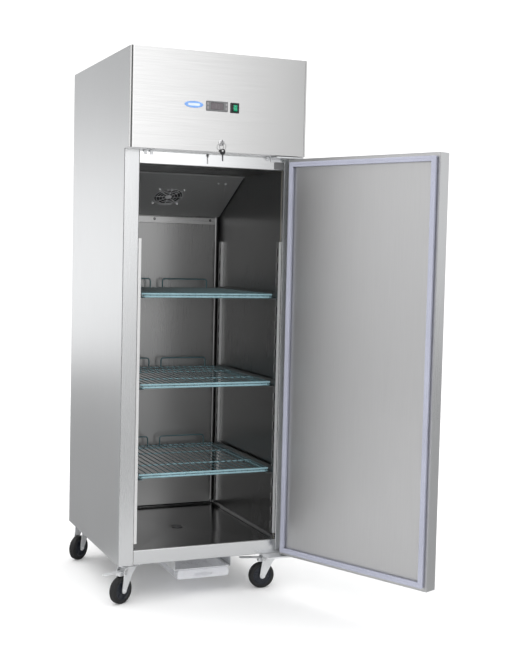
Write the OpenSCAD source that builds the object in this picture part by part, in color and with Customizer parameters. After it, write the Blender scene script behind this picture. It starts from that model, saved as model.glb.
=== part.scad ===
// Single-door reach-in refrigerator: insulated upright cabinet on swivel casters, with a
// top-mounted condensing unit, a hinged door, wire shelves and a pull-out drip tray.
// Millimetres. X to the right seen from the front, Y from the door to the back, Z up from the
// floor. Y = 0 is the face of the front frame that the door gasket closes on.

/* [Cabinet] */
// Outside width of the cabinet
cabinet_w = 680; // [600:1:800]
// Depth of the cabinet behind the front frame
cabinet_d = 745; // [600:1:850]
// Height of the roof above the floor
roof_z = 2010; // [1900:1:2150]
// Height of the underside above the floor
base_z = 149; // [120:1:200]
// Width of the front posts
post_w = 57.5; // [40:0.5:80]
// Height of the sill's top above the floor
sill_z = 204; // [180:1:240]
// Height of the door opening's top above the floor
opening_z = 1607; // [1500:1:1700]
// Thickness of the cabinet's sheet
sheet = 1.2; // [0.8:0.1:2]

/* [Door] */
// Opening angle of the door as it stands
door_open = 114.1; // [0:0.1:150]
// Width of the door
door_w = 676; // [600:1:780]
// Height of the door
door_h = 1495; // [1400:1:1600]
// Thickness of the door without its gasket
door_t = 50; // [40:1:70]
// Width of the gasket's bar
gasket_w = 18; // [12:1:26]

/* [Fascia] */
// Height of the fascia's lower edge above the floor
fascia_z = 1657; // [1600:1:1750]
// How far the fascia stands in front of the front frame
fascia_out = 65; // [50:1:80]
// Radius of the fascia's upright edges
fascia_r = 12; // [6:1:20]

/* [Shelves] */
// Heights of the three shelves' front rails
shelf_z = [469.5, 802, 1135.5]; // [300:0.5:1400]
// Width of a shelf over its frame
shelf_w = 530; // [480:1:560]
// Depth of a shelf
shelf_d = 600; // [500:1:620]
// Wires running from front to back on each shelf
wire_count = 21; // [13:2:31]
// Pitch of the slots in the uprights
slot_pitch = 55; // [25:1:80]

/* [Casters] */
// Wheel diameter
wheel_dia = 100; // [75:1:125]
// Width of a wheel's tread
wheel_w = 27; // [20:1:36]
// Distance from the swivel axis back to the wheel's axle
trail = 38; // [25:1:45]

/* [Drip tray] */
// Width of the tray over its rim
tray_w = 218; // [150:1:260]
// Depth of the tray from front to back
tray_d = 340; // [200:1:360]
// Height of the tray
tray_h = 42; // [25:1:60]

/* [Hidden] */

$fn = 48;
hw = cabinet_w / 2;
in_w = hw - post_w;              // half width over the liner
post_in = hw - post_w;           // half width of the door opening
frame_t = 20;                    // depth of the front frame's folded channels
back_y = cabinet_d - 60;         // face of the rear liner
duct_y = 665;                    // face of the air duct panel
deck_z = opening_z + 59;         // top of the insulated ceiling
unit_y0 = -49.5;                 // front edge of the machine compartment's side walls
gap = 0.2;

// door, closed
hinge_x = 318;
hinge_y = -42;
door_x = door_w / 2;
door_y0 = -fascia_out;
door_y1 = door_y0 + door_t;
door_z0 = 152.8;
door_z1 = door_z0 + door_h;

// slanted evaporator cover: from the ceiling down to the duct panel
slant_y0 = 380;
slant_y1 = 664;
slant_z1 = 1446;
slant_a = atan2(opening_z - slant_z1, slant_y1 - slant_y0);
slant_l = (slant_y1 - slant_y0) / cos(slant_a);
fan_s = 174;                     // fan centre along the slant
fan_x = 3;

// casters: swivel axis x, y and how far each has turned from straight
caster = [[-285, 58, 31], [291, 58, -4], [-285, 700, 38], [285, 700, 12]];
axle_r = 4;

// floor drain
drain_x = 0;
drain_y = 332;

// fascia hinge line, lock and fittings
fh_y = -49.7;
fh_z = 2006.5;
ctl_x = [-59, 24];
ctl_z = [1801, 1837];
sw_x = [34, 68];
sw_z = [1799, 1836];
lock_x = 3;
lock_z = 1690;
ring_r = 12.5;
ring_c = [3, -78, 1676];
button_at = [[-52.5, 1826], [17.5, 1826], [17.5, 1812], [-52.5, 1812]];

module block(a, b) {
  translate(a) cube([b[0] - a[0], b[1] - a[1], b[2] - a[2]]);
}

module xcyl(r, x0, x1, y, z) {
  translate([x0, y, z]) rotate([0, 90, 0]) cylinder(r = r, h = x1 - x0);
}

module ycyl(r, x, y0, y1, z) {
  translate([x, y0, z]) rotate([-90, 0, 0]) cylinder(r = r, h = y1 - y0);
}

module zcyl(r, x, y, z0, z1) {
  translate([x, y, z0]) cylinder(r = r, h = z1 - z0);
}

// frame of the slanted cover: X across, Y down the slant, Z away from the storage room
module on_slant() {
  translate([0, slant_y0, opening_z]) rotate([-slant_a, 0, 0]) children();
}

module place_door() {
  translate([hinge_x, hinge_y, 0]) rotate([0, 0, door_open])
    translate([-hinge_x, -hinge_y, 0]) children();
}

// ---------- cabinet shell ----------

// one folded sheet a side: full height behind the frame, carried forward beside the fascia
module side_panels() {
  color([0.78, 0.79, 0.80])
  for (s = [-1, 1])
    translate([s < 0 ? -hw : hw - sheet, 0, 0])
      rotate([90, 0, 90])
        linear_extrude(sheet)
          polygon([[0, base_z], [cabinet_d, base_z], [cabinet_d, roof_z],
            [unit_y0 + 5, roof_z], [unit_y0 + 5, fh_z - 4.5], [unit_y0, fh_z - 4.5],
            [unit_y0, fascia_z], [0, fascia_z]]);
}

// base sheet and back sheet
module back_panel() {
  x = hw - sheet - 0.1;
  color([0.62, 0.63, 0.64]) {
    difference() {
      block([-x, frame_t + gap, base_z], [x, cabinet_d - sheet - 0.1, base_z + sheet]);
      zcyl(13.5, drain_x, drain_y, base_z - 1, base_z + 5);
    }
    block([-x, cabinet_d - sheet, base_z], [x, cabinet_d, deck_z]);
  }
}

// foamed wall slabs: two sides, back, base and ceiling
module insulation() {
  xo = hw - sheet - 0.2;
  xi = post_in + gap;
  y0 = frame_t + gap;
  y1 = cabinet_d - sheet - gap;
  zb = base_z + sheet + gap;
  zt = deck_z - gap;
  color([0.93, 0.87, 0.66]) {
    for (s = [-1, 1])
      block([s < 0 ? -xo : xi, y0, zb], [s < 0 ? -xi : xo, y1, zt]);
    block([-xi + gap, back_y + sheet + gap, zb], [xi - gap, y1, zt]);
    difference() {
      block([-xi + gap, y0, zb], [xi - gap, back_y + sheet, sill_z - 11]);
      zcyl(13.5, drain_x, drain_y, zb - 1, sill_z);
    }
    difference() {
      block([-xi + gap, y0, opening_z + sheet + gap], [xi - gap, back_y + sheet, zt]);
      zcyl(16, 200, 600, opening_z, zt + 1);
    }
  }
}

// inner skin: two sides, back and ceiling
module liner() {
  y0 = frame_t + gap;
  color([0.55, 0.54, 0.53]) {
    for (s = [-1, 1])
      block([s < 0 ? -in_w : in_w - sheet, y0, sill_z],
        [s < 0 ? -in_w + sheet : in_w, back_y, opening_z + sheet]);
    block([-in_w + sheet + gap, back_y - sheet, sill_z],
      [in_w - sheet - gap, back_y, opening_z - 0.1]);
    difference() {
      block([-in_w + sheet + gap, y0, opening_z],
        [in_w - sheet - gap, back_y, opening_z + sheet]);
      zcyl(16, 200, 600, opening_z - 1, opening_z + 3);
    }
  }
}

// pressed floor that falls to its drain, with the drain spigot through the base
module pan_fall(z) {
  x = in_w - sheet - gap;
  hull() {
    block([-x, 1.4, z], [x, back_y - sheet - gap, z + 3]);
    zcyl(22, drain_x, drain_y, z - 8, z - 7);
  }
}

module floor_pan() {
  color([0.50, 0.49, 0.48])
  difference() {
    union() {
      difference() {
        pan_fall(sill_z - sheet);
        translate([0, 0, sheet]) pan_fall(sill_z - sheet);
        block([-hw, 0, sill_z], [hw, cabinet_d, sill_z + 10]);
      }
      zcyl(12.5, drain_x, drain_y, base_z - 9, sill_z - 8);
    }
    zcyl(10, drain_x, drain_y, base_z - 10, sill_z + 1);
  }
}

// folded channels round the door opening: posts, sill and top rail
module channel_z(x0, x1, z0, z1) {
  difference() {
    block([x0, 0, z0], [x1, frame_t, z1]);
    block([x0 + sheet, sheet, z0 - 1], [x1 - sheet, frame_t + 1, z1 + 1]);
  }
}

module channel_x(x0, x1, z0, z1) {
  difference() {
    block([x0, 0, z0], [x1, frame_t, z1]);
    block([x0 - 1, sheet, z0 + sheet], [x1 + 1, frame_t + 1, z1 - sheet]);
  }
}

module front_frame() {
  xo = hw - sheet - 0.1;
  color([0.80, 0.81, 0.82]) {
    channel_z(-xo, -post_in, base_z, deck_z - gap);
    channel_z(post_in, xo, base_z, deck_z - gap);
    channel_x(-post_in + 0.1, post_in - 0.1, base_z, sill_z - sheet - 0.7);
    channel_x(-post_in + 0.1, post_in - 0.1, opening_z, deck_z - gap);
  }
}

// ---------- inside the cabinet ----------

duct_screw_x = [-258, -11, 238];
cover_screw_x = [-250, 184.6, 216];
cover_screw_s = 63;

// air duct panel with folded sides and rows of outlet slots
module duct_panel() {
  x = 262;
  z0 = 212;
  z1 = 1440;
  color([0.52, 0.51, 0.50])
  difference() {
    block([-x, duct_y, z0], [x, back_y - sheet - gap, z1]);
    block([-x + sheet, duct_y + sheet, z0 - 1], [x - sheet, back_y, z1 + 1]);
    for (s = [-1, 1], k = [0:4])
      block([s * 190 - 35, duct_y - 1, 330 + 210 * k],
        [s * 190 + 35, duct_y + 2, 338 + 210 * k]);
    for (sx = duct_screw_x)
      ycyl(2.1, sx, duct_y - 1, duct_y + 3, 1430);
  }
}

// slanted cover over the evaporator, with the fan's opening
module evaporator_cover() {
  x = in_w - sheet - 0.6;
  color([0.50, 0.49, 0.48])
  difference() {
    on_slant() block([-x, 2, -sheet - 0.8], [x, slant_l - 2, -0.8]);
    on_slant() {
      zcyl(57, fan_x, fan_s, -5, 5);
      for (sx = cover_screw_x)
        zcyl(2.1, sx, cover_screw_s, -5, 5);
      for (a = [-1, 1], b = [-1, 1])
        zcyl(2.1, fan_x + a * 52.5, fan_s + b * 52.5, -5, 5);
    }
  }
}

// square frame of the evaporator fan, with the motor on three arms and its shaft
module fan_frame() {
  color([0.12, 0.12, 0.13])
  on_slant() translate([fan_x, fan_s, 0])
  difference() {
    union() {
      difference() {
        block([-60, -60, -0.6], [60, 60, 32]);
        zcyl(56, 0, 0, -2, 40);
      }
      zcyl(19, 0, 0, 17, 32);
      for (k = [0:2])
        rotate([0, 0, 120 * k + 30])
          block([15, -4, 26], [58, 4, 32]);
      zcyl(2, 0, 0, 3, 18);
    }
    for (a = [-1, 1], b = [-1, 1])
      zcyl(2.1, a * 52.5, b * 52.5, -5, 60);
  }
}

// rings and spokes of the fan's wire guard, on the room side
module guard_ring(r) {
  difference() {
    zcyl(r + 0.9, 0, 0, -4.9, -3.1);
    zcyl(r - 0.9, 0, 0, -6, -2);
  }
}

module fan_guard() {
  color([0.72, 0.73, 0.74])
  on_slant() translate([fan_x, fan_s, -2])
  difference() {
    union() {
      for (r = [26, 38, 50, 60])
        guard_ring(r);
      for (k = [0:3])
        rotate([0, 0, 45 * k + 45])
          block([-71, -0.9, -3.8], [71, 0.9, -2.2]);
      for (a = [-1, 1], b = [-1, 1])
        translate([a * 52.5, b * 52.5, -3.8])
          cylinder(r = 5, h = 3.6);
      zcyl(14, 0, 0, -4.8, -3.2);
    }
    for (a = [-1, 1], b = [-1, 1])
      zcyl(2.1, a * 52.5, b * 52.5, -10, 10);
  }
}

module blades(count, r0, r1, chord, tilt) {
  for (k = [0:count - 1])
    rotate([0, 0, 360 * k / count])
      intersection() {
        rotate([tilt, 0, 0])
          block([r0 - 2, -chord / 2, -0.8], [r1, chord / 2, 0.8]);
        zcyl(r1, 0, 0, -30, 30);
      }
}

module evaporator_fan() {
  color([0.10, 0.10, 0.11])
  on_slant() translate([fan_x, fan_s, 10])
  difference() {
    union() {
      zcyl(19, 0, 0, -6, 6);
      blades(7, 18, 53, 26, 24);
    }
    zcyl(2.05, 0, 0, -8, 8);
  }
}

// finned evaporator with its tubes and end plates
module evaporator_coil() {
  y = [602, 668];
  z = [1522, 1598];
  color([0.76, 0.77, 0.78]) {
    for (k = [0:17])
      block([-250 + 25 * k, y[0], z[0]],
        [-249 + 25 * k, y[1], k % 17 == 0 ? opening_z - gap : z[1]]);
    for (a = [0:2], b = [0:1])
      xcyl(4, -258, 184, y[0] + 13 + a * 20, z[0] + 20 + b * 36);
  }
}

// identical screws: duct panel, evaporator cover and fan guard
module screw(l = 4) {
  cylinder(r = 4.2, h = 1.6);
  translate([0, 0, -l]) cylinder(r = 2, h = l + 0.2);
}

module panel_screws() {
  color([0.45, 0.45, 0.46]) {
    for (sx = duct_screw_x)
      translate([sx, duct_y, 1430]) rotate([90, 0, 0]) screw();
    on_slant() {
      for (sx = cover_screw_x)
        translate([sx, cover_screw_s, -sheet - 0.8]) rotate([180, 0, 0]) screw();
      for (a = [-1, 1], b = [-1, 1])
        translate([fan_x + a * 52.5, fan_s + b * 52.5, -5.8]) rotate([180, 0, 0]) screw(16);
    }
  }
}

upright_y = [4, 610];
upright_w = 26;
upright_x = 270;
upright_z = [226, 1340];

module shelf_uprights() {
  color([0.66, 0.66, 0.66])
  for (s = [-1, 1], y = upright_y)
    mirror([s < 0 ? 1 : 0, 0, 0])
      difference() {
        block([upright_x, y, upright_z[0]], [in_w - sheet - 0.1, y + upright_w, upright_z[1]]);
        block([upright_x + 1.5, y + 1.5, upright_z[0] - 1],
          [in_w, y + upright_w - 1.5, upright_z[1] + 1]);
        for (k = [0:19])
          block([upright_x - 1, y + 7, 240 + slot_pitch * k],
            [upright_x + 2, y + 19, 270 + slot_pitch * k]);
      }
}

// angle runners hooked into the uprights' slots, a pair for each shelf
module shelf_runners() {
  color([0.42, 0.42, 0.42])
  for (s = [-1, 1], z = shelf_z)
    mirror([s < 0 ? 1 : 0, 0, 0])
      union() {
        block([upright_x - 1.4, 6, z - 11.2], [upright_x - 0.2, 636, z + 15]);
        block([upright_x - 24, 6, z - 11.2], [upright_x - 1, 636, z - 10]);
        for (y = upright_y)
          block([upright_x - 0.6, y + 11, z - 3], [upright_x + 4, y + 15, z + 8]);
      }
}

// coated wire shelf: frame, front rail of two bars, wires, cross bars and rear stops
module shelf(z) {
  x = shelf_w / 2 - 3.5;
  y0 = 33;
  y1 = y0 + shelf_d;
  zl = z - 6.7;
  zu = z + 3.5;
  zw = z + 7;
  c = 3.6;
  color([0.36, 0.55, 0.58])
  union() {
    for (s = [-1, 1])
      ycyl(3.2, s * x, y0, y1, zl);
    for (y = [y0, y1])
      xcyl(3.2, -x, x, y, zl);
    for (s = [-1, 1], y = [y0, y1])
      block([s * x - c, y - c, zl - 3.2], [s * x + c, y + c, zl + c]);
    xcyl(2.6, -258, 258, y0 + 1.5, zu);
    xcyl(2.6, -258, 258, y1 - 1.5, zu);
    for (y = [y0 + 180, y0 + 420]) {
      xcyl(2.4, -x, x, y, zu - 0.4);
      for (s = [-1, 1])
        block([s * x - 2.6, y - 2.6, zl], [s * x + 2.6, y + 2.6, zu + 2]);
    }
    for (k = [0:wire_count - 1]) {
      xk = (k - (wire_count - 1) / 2) * 25;
      block([xk - 1.6, y0 - 1.8, zw - 1.6], [xk + 1.6, y1 + 1.8, zw + 1.6]);
      block([xk - 1.6, y0 - 1.8, zl - 1], [xk + 1.6, y0 + 1.4, zw]);
      if (k % 4 == 0)
        block([xk - 1.6, y1 - 1.4, zl - 1], [xk + 1.6, y1 + 1.8, zw]);
    }
    for (e = [[-213, -37], [16, 213]]) {
      for (i = [0, 1]) {
        zcyl(2.5, e[i], y1 - 6.5, zu + 1, z + 44);
        block([e[i] - 2.8, y1 - 9.3, z + 41.2], [e[i] + 2.8, y1 - 3.7, z + 46.6]);
        block([e[i] - 4, y1 - 9, zu - 1], [e[i] + 4, y1 - 1, zu + 2]);
      }
      xcyl(2.5, e[0], e[1], y1 - 6.5, z + 44);
    }
  }
}

module shelf_lower() { shelf(shelf_z[0]); }
module shelf_middle() { shelf(shelf_z[1]); }
module shelf_upper() { shelf(shelf_z[2]); }

// ---------- hinges, underside and casters ----------

// lower and upper door hinge plates with their pins
module hinge_brackets() {
  color([0.70, 0.71, 0.72]) {
    block([225, -62, base_z - 5.2], [330, 19, base_z - 0.2]);
    zcyl(9, hinge_x, hinge_y, base_z - 1, door_z0 - 0.6);
    zcyl(5, hinge_x, hinge_y, base_z - 1, 171);
    for (dx = [246, 285])
      translate([dx, 6, base_z - 10.5]) cylinder(r = 6.5, h = 5.6, $fn = 6);
    block([225, -60, door_z1 + 1.6], [332, -0.1, door_z1 + 6.6]);
    block([225, -5.1, door_z1 - 10], [262, -0.1, door_z1 + 6.6]);
    zcyl(5, hinge_x, hinge_y, door_z1 - 19, door_z1 + 3);
  }
}

tray_x = 2;
tray_z = 66;

// two folded runners under the base that carry the drip tray by its rim
module tray_rails() {
  o = tray_w / 2 + 2;
  color([0.35, 0.35, 0.36])
  for (s = [-1, 1])
    translate([tray_x, 0, 0]) mirror([s < 0 ? 1 : 0, 0, 0])
      union() {
        block([o, 34, 103], [o + 1.5, 385, base_z - 0.2]);
        block([o - 9, 34, 103], [o + 0.5, 385, 104.6]);
        block([o, 34, base_z - 1.7], [o + 14, 385, base_z - 0.2]);
        block([o - 9, 383.5, 103], [o + 0.5, 385, 114]);
      }
}

// moulded tray: open top, rim all round, pull lip at the front
module drip_tray() {
  w = tray_w / 2;
  b = w - 9;
  z1 = tray_z + tray_h;
  y0 = 30;
  y1 = y0 + tray_d;
  color([0.86, 0.89, 0.90])
  translate([tray_x, 0, 0])
  difference() {
    union() {
      block([-b, y0 + 4, tray_z], [b, y1 - 4, z1]);
      block([-w, y0, z1 - 3.2], [w, y1, z1]);
      block([-w, y0, tray_z + 4], [w, y0 + 2.4, z1]);
    }
    block([-b + 2.4, y0 + 6.4, tray_z + 2.4], [b - 2.4, y1 - 6.4, z1 + 1]);
  }
}

module caster_plates() {
  color([0.74, 0.75, 0.76])
  for (c = caster)
    translate([c[0], c[1], 0]) {
      difference() {
        union() {
          block([-44, -36, base_z - 4], [44, 36, base_z - 0.2]);
          zcyl(27, 0, 0, base_z - 12, base_z - 3);
        }
        zcyl(6.05, 0, 0, base_z - 20, base_z + 1);
      }
      for (a = [-1, 1], b = [-1, 1])
        translate([a * 34, b * 27, base_z - 9.8]) cylinder(r = 6, h = 5.6, $fn = 6);
    }
}

// fork: crown with the swivel's kingpin, two legs and the axle bolt
module leg_shape() {
  polygon([[28, 133], [-36, 133], [-trail - 11, 62], [-trail - 11, 50], [-trail - 8, 42],
    [-trail, 39], [-trail + 8, 42], [-trail + 11, 48]]);
}

module fork(c) {
  hz = wheel_dia / 2;
  lg = 19;
  color([0.76, 0.77, 0.78])
  translate([c[0], c[1], 0]) rotate([0, 0, c[2]]) {
    difference() {
      union() {
        zcyl(28, 0, 0, 131, base_z - 12.3);
        block([-30, -lg - 1.5, 131], [24, lg + 1.5, 134]);
        for (s = [-1, 1])
          translate([0, s * lg + 1.5, 0]) rotate([90, 0, 0])
            linear_extrude(3) leg_shape();
        zcyl(6, 0, 0, 133, base_z - 2);
      }
      ycyl(axle_r + 0.05, -trail, -lg - 5, lg + 5, hz);
    }
    ycyl(axle_r, -trail, -lg - 4, lg + 4, hz);
    for (s = [-1, 1])
      translate([-trail, s * (lg + 3.8), hz]) rotate([90, 0, 0])
        translate([0, 0, -2.2]) cylinder(r = 6.5, h = 4.4, $fn = 6);
  }
}

module wheel(c) {
  r = wheel_dia / 2;
  h = wheel_w / 2;
  color([0.09, 0.09, 0.10])
  translate([c[0], c[1], 0]) rotate([0, 0, c[2]]) translate([-trail, 0, r])
    rotate([90, 0, 0])
      rotate_extrude($fn = 64)
        polygon([[axle_r + 0.05, -h - 2], [12, -h - 2], [13, -h + 6], [33, -h + 6],
          [34, -h], [r - 4, -h], [r, -h + 4], [r, h - 4], [r - 4, h], [34, h],
          [33, h - 6], [13, h - 6], [12, h + 2], [axle_r + 0.05, h + 2]]);
}

// brake pedal with its shoe: steps down onto the tread, hinged between the fork's legs
pedal_l = 95;
pedal_px = -33;
pedal_pz = 116;

module pedal(c) {
  color([0.80, 0.81, 0.82])
  translate([c[0], c[1], 0]) rotate([0, 0, c[2]]) {
    difference() {
      union() {
        ycyl(5, pedal_px, -13, 13, pedal_pz);
        translate([pedal_px, 0, pedal_pz]) rotate([0, 3, 0])
          block([-pedal_l, -12, 1], [0, 12, 4]);
        translate([pedal_px, 0, pedal_pz]) block([-20, -9, -13], [-2, 9, 2]);
      }
      ycyl(2.55, pedal_px, -14, 14, pedal_pz);
    }
  }
}

module pedal_pin(c) {
  translate([c[0], c[1], 0]) rotate([0, 0, c[2]]) {
    for (s = [-1, 1])
      translate([0, s * 19 + 1.5, 0]) rotate([90, 0, 0])
        linear_extrude(3)
          polygon([[-18, 131], [-41, 122], [-42, 110], [-26, 108]]);
    ycyl(2.5, pedal_px, -18, 18, pedal_pz);
  }
}

module fork_fl() { color([0.76, 0.77, 0.78]) union() { fork(caster[0]); pedal_pin(caster[0]); } }
module fork_fr() { color([0.76, 0.77, 0.78]) union() { fork(caster[1]); pedal_pin(caster[1]); } }
module fork_rl() { fork(caster[2]); }
module fork_rr() { fork(caster[3]); }
module wheel_fl() { wheel(caster[0]); }
module wheel_fr() { wheel(caster[1]); }
module wheel_rl() { wheel(caster[2]); }
module wheel_rr() { wheel(caster[3]); }
module pedal_fl() { pedal(caster[0]); }
module pedal_fr() { pedal(caster[1]); }

// ---------- machine compartment ----------

module unit_deck() {
  x = hw - sheet - 0.2;
  color([0.68, 0.69, 0.70])
  difference() {
    block([-x, 1, deck_z + 0.1], [x, cabinet_d - sheet - 0.3, deck_z + 1.6]);
    zcyl(16, 200, 600, deck_z - 1, deck_z + 3);
  }
}

module roof_panel() {
  x = hw - sheet - 0.2;
  color([0.78, 0.79, 0.80])
  block([-x, -43.5, roof_z - sheet], [x, cabinet_d - 0.1, roof_z]);
}

gland_x = -250;
gland_z = 1760;

// back closure of the machine compartment with two banks of air slots
module rear_grille() {
  x = hw - sheet - 0.2;
  color([0.60, 0.61, 0.62])
  difference() {
    block([-x, cabinet_d - sheet, deck_z + 2], [x, cabinet_d - 0.1, roof_z - sheet - gap]);
    for (s = [-1, 1], k = [0:11])
      block([s * 130 - 90, cabinet_d - 3, 1810 + 14 * k],
        [s * 130 + 90, cabinet_d + 1, 1815 + 14 * k]);
    ycyl(8, gland_x, cabinet_d - 4, cabinet_d + 2, gland_z);
  }
}

comp = [185, 520];

// hermetic compressor on its foot plate with four grommets
module compressor() {
  z = deck_z + 1.8;
  color([0.08, 0.08, 0.09])
  translate([comp[0], comp[1], z]) {
    block([-95, -70, 12], [95, 70, 15]);
    zcyl(72, 0, 0, 14, 130);
    intersection() {
      translate([0, 0, 130]) scale([1, 1, 0.5]) sphere(r = 72, $fn = 48);
      zcyl(80, 0, 0, 129, 200);
    }
    for (a = [-1, 1], b = [-1, 1])
      zcyl(11, a * 82, b * 56, 0, 22);
    block([60, -28, 40], [88, 28, 100]);
  }
}

cond = [-250, 60, 60, 110];     // x0, x1, y0, y1 of the finned block
cond_z = [1690, 1950];

module condenser_coil() {
  color([0.70, 0.68, 0.64])
  union() {
    for (k = [0:24])
      block([cond[0] + 12.9 * k, cond[2], cond_z[0]],
        [cond[0] + 12.9 * k + 1, cond[3], cond_z[1]]);
    for (a = [0, 1], b = [0:4])
      xcyl(4.5, cond[0] - 8, cond[1] + 9, cond[2] + 14 + 22 * a, cond_z[0] + 30 + 50 * b);
    block([cond[0], cond[2], cond_z[0] - 22], [cond[0] + 1.5, cond[3], cond_z[0] + 1]);
    block([cond[1] - 1, cond[2], cond_z[0] - 22], [cond[1] + 0.6, cond[3], cond_z[0] + 1]);
  }
}

cfan = [-95, 1820];

// shroud behind the condenser, with the fan motor on its bracket
module condenser_shroud() {
  color([0.30, 0.31, 0.32])
  union() {
    difference() {
      block([cond[0], cond[3] + 1, cond_z[0] - 20], [cond[1], cond[3] + 32, cond_z[1]]);
      block([cond[0] + 1.5, cond[3], cond_z[0] - 18.5],
        [cond[1] - 1.5, cond[3] + 30.5, cond_z[1] - 1.5]);
      ycyl(112, cfan[0], cond[3] + 20, cond[3] + 60, cfan[1]);
    }
    ycyl(34, cfan[0], cond[3] + 62, cond[3] + 112, cfan[1]);
    ycyl(3, cfan[0], cond[3] + 36, cond[3] + 64, cfan[1]);
    for (s = [-1, 1]) {
      block([cfan[0] + s * 118 - 8, cond[3] + 31, cfan[1] - 6],
        [cfan[0] + s * 118 + 8, cond[3] + 92, cfan[1] + 6]);
      block([cfan[0] + (s < 0 ? -126 : 30), cond[3] + 88, cfan[1] - 6],
        [cfan[0] + (s < 0 ? -30 : 126), cond[3] + 92, cfan[1] + 6]);
    }
  }
}

module condenser_fan() {
  color([0.72, 0.73, 0.74])
  translate([cfan[0], cond[3] + 48, cfan[1]]) rotate([90, 0, 0])
  difference() {
    union() {
      zcyl(24, 0, 0, -7, 7);
      blades(5, 22, 106, 52, 22);
    }
    zcyl(3.05, 0, 0, -9, 9);
  }
}

// a straight run along one axis, and a run of them with brazed elbow blocks
module pipe_leg(a, b, r = 4) {
  lo = [min(a[0], b[0]), min(a[1], b[1]), min(a[2], b[2])];
  hi = [max(a[0], b[0]), max(a[1], b[1]), max(a[2], b[2])];
  if (hi[0] - lo[0] > 0.1)
    xcyl(r, lo[0], hi[0], a[1], a[2]);
  else if (hi[1] - lo[1] > 0.1)
    ycyl(r, a[0], lo[1], hi[1], a[2]);
  else
    zcyl(r, a[0], a[1], lo[2], hi[2]);
}

module pipe_run(pts) {
  e = [4.8, 4.8, 4.8];
  union() {
    for (i = [0:len(pts) - 2])
      pipe_leg(pts[i], pts[i + 1]);
    for (i = [1:len(pts) - 2])
      block(pts[i] - e, pts[i] + e);
  }
}

// discharge line, and liquid line with its filter drier down to the evaporator
module refrigerant_pipes() {
  color([0.72, 0.45, 0.30]) {
    pipe_run([[150, 452, 1720], [150, 96, 1720], [69.5, 96, 1720]]);
    union() {
      pipe_run([[69.5, 74, 1920], [110, 74, 1920], [110, 600, 1920], [192, 600, 1920],
        [192, 600, 1578]]);
      ycyl(10, 110, 320, 400, 1920);
    }
  }
}

module electrical_box() {
  x = gland_x;
  color([0.82, 0.82, 0.80])
  difference() {
    union() {
      block([x - 60, 600, 1690], [x + 60, 720, 1800]);
      block([x - 63, 597, 1800], [x + 63, 723, 1806]);
      block([x - 50, 610, deck_z + 1.8], [x + 50, 700, 1691]);
      ycyl(7.8, x, 719, cabinet_d + 9, gland_z);
      ycyl(11, x, cabinet_d + 0.2, cabinet_d + 9, gland_z);
    }
    ycyl(4.5, x, 715, cabinet_d + 12, gland_z);
    block([x - 57, 603, 1693], [x + 57, 717, 1797]);
  }
}

// cross member behind the fascia's top edge, with the two hinge pins
module fascia_hinge_rail() {
  x = hw - sheet - 0.3;
  color([0.66, 0.67, 0.68])
  union() {
    block([-x, -42.5, 1990], [x, -41.3, roof_z - sheet - 0.2]);
    for (s = [-1, 1]) {
      xcyl(1.1, s * 305 - 22, s * 305 + 22, fh_y, fh_z);
      for (d = [-1, 1]) {
        xcyl(2.2, s * 305 + d * 15 - 7, s * 305 + d * 15 + 7, fh_y, fh_z);
        block([s * 305 + d * 15 - 7, fh_y, fh_z - 2.2],
          [s * 305 + d * 15 + 7, -41.4, fh_z - 1]);
      }
    }
  }
}

// ---------- door ----------

grip_x = [-322, -294];           // finger channel in the front, near the free edge
grip_d = 22;

module door_skin() {
  color([0.79, 0.80, 0.81])
  place_door()
  difference() {
    block([-door_x, door_y0, door_z0], [door_x, door_y1, door_z1]);
    difference() {
      block([-door_x + 1, door_y0 + 1, door_z0 + 1], [door_x - 1, door_y1 + 1, door_z1 - 1]);
      block([grip_x[0] - 1, door_y0, door_z0], [grip_x[1] + 1, door_y0 + grip_d, door_z1]);
    }
    block([grip_x[0], door_y0 - 1, door_z0 + 6], [grip_x[1], door_y0 + grip_d - 1, door_z1 - 6]);
    zcyl(9.2, hinge_x, hinge_y, door_z0 - 1, door_z0 + 2);
    zcyl(9.2, hinge_x, hinge_y, door_z1 - 2, door_z1 + 1);
  }
}

module door_foam() {
  color([0.93, 0.87, 0.66])
  place_door()
  difference() {
    block([-door_x + 1.2, door_y0 + 1.2, door_z0 + 1.2],
      [door_x - 1.2, door_y1 - 1.6, door_z1 - 1.2]);
    block([grip_x[0] - 1.2, door_y0 - 1, door_z0 - 1],
      [grip_x[1] + 1.2, door_y0 + grip_d + 0.2, door_z1 + 1]);
    zcyl(9.2, hinge_x, hinge_y, door_z0 - 1, door_z0 + 27);
    zcyl(9.2, hinge_x, hinge_y, door_z1 - 27, door_z1 + 1);
  }
}

module door_liner() {
  color([0.74, 0.74, 0.74])
  place_door()
    block([-door_x + 1.2, door_y1 - 1.4, door_z0 + 1.2],
      [door_x - 1.2, door_y1 - 0.2, door_z1 - 1.2]);
}

module door_gasket() {
  e = 12;
  color([0.66, 0.68, 0.78])
  place_door()
  difference() {
    block([-door_x + e, door_y1, door_z0 + e], [door_x - e, -2.4, door_z1 - e]);
    block([-door_x + e + gasket_w, door_y1 - 1, door_z0 + e + gasket_w],
      [door_x - e - gasket_w, 1, door_z1 - e - gasket_w]);
  }
}

module door_bushes() {
  color([0.90, 0.90, 0.88])
  place_door()
  for (z = [door_z0 + 0.1, door_z1 - 24.1])
    difference() {
      zcyl(9, hinge_x, hinge_y, z, z + 24);
      zcyl(5.05, hinge_x, hinge_y, z - 1, z + 25);
    }
}

// ---------- fascia and its fittings ----------

module fascia_solid(o, z0, z1) {
  r = fascia_r - o;
  union() {
    block([-hw + fascia_r, -fascia_out + o, z0], [hw - fascia_r, -49.9 + o, z1]);
    block([-hw + o, -fascia_out + fascia_r, z0], [hw - o, -49.9 + o, z1]);
    for (s = [-1, 1])
      zcyl(r, s * (hw - fascia_r), -fascia_out + fascia_r, z0, z1);
  }
}

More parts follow.
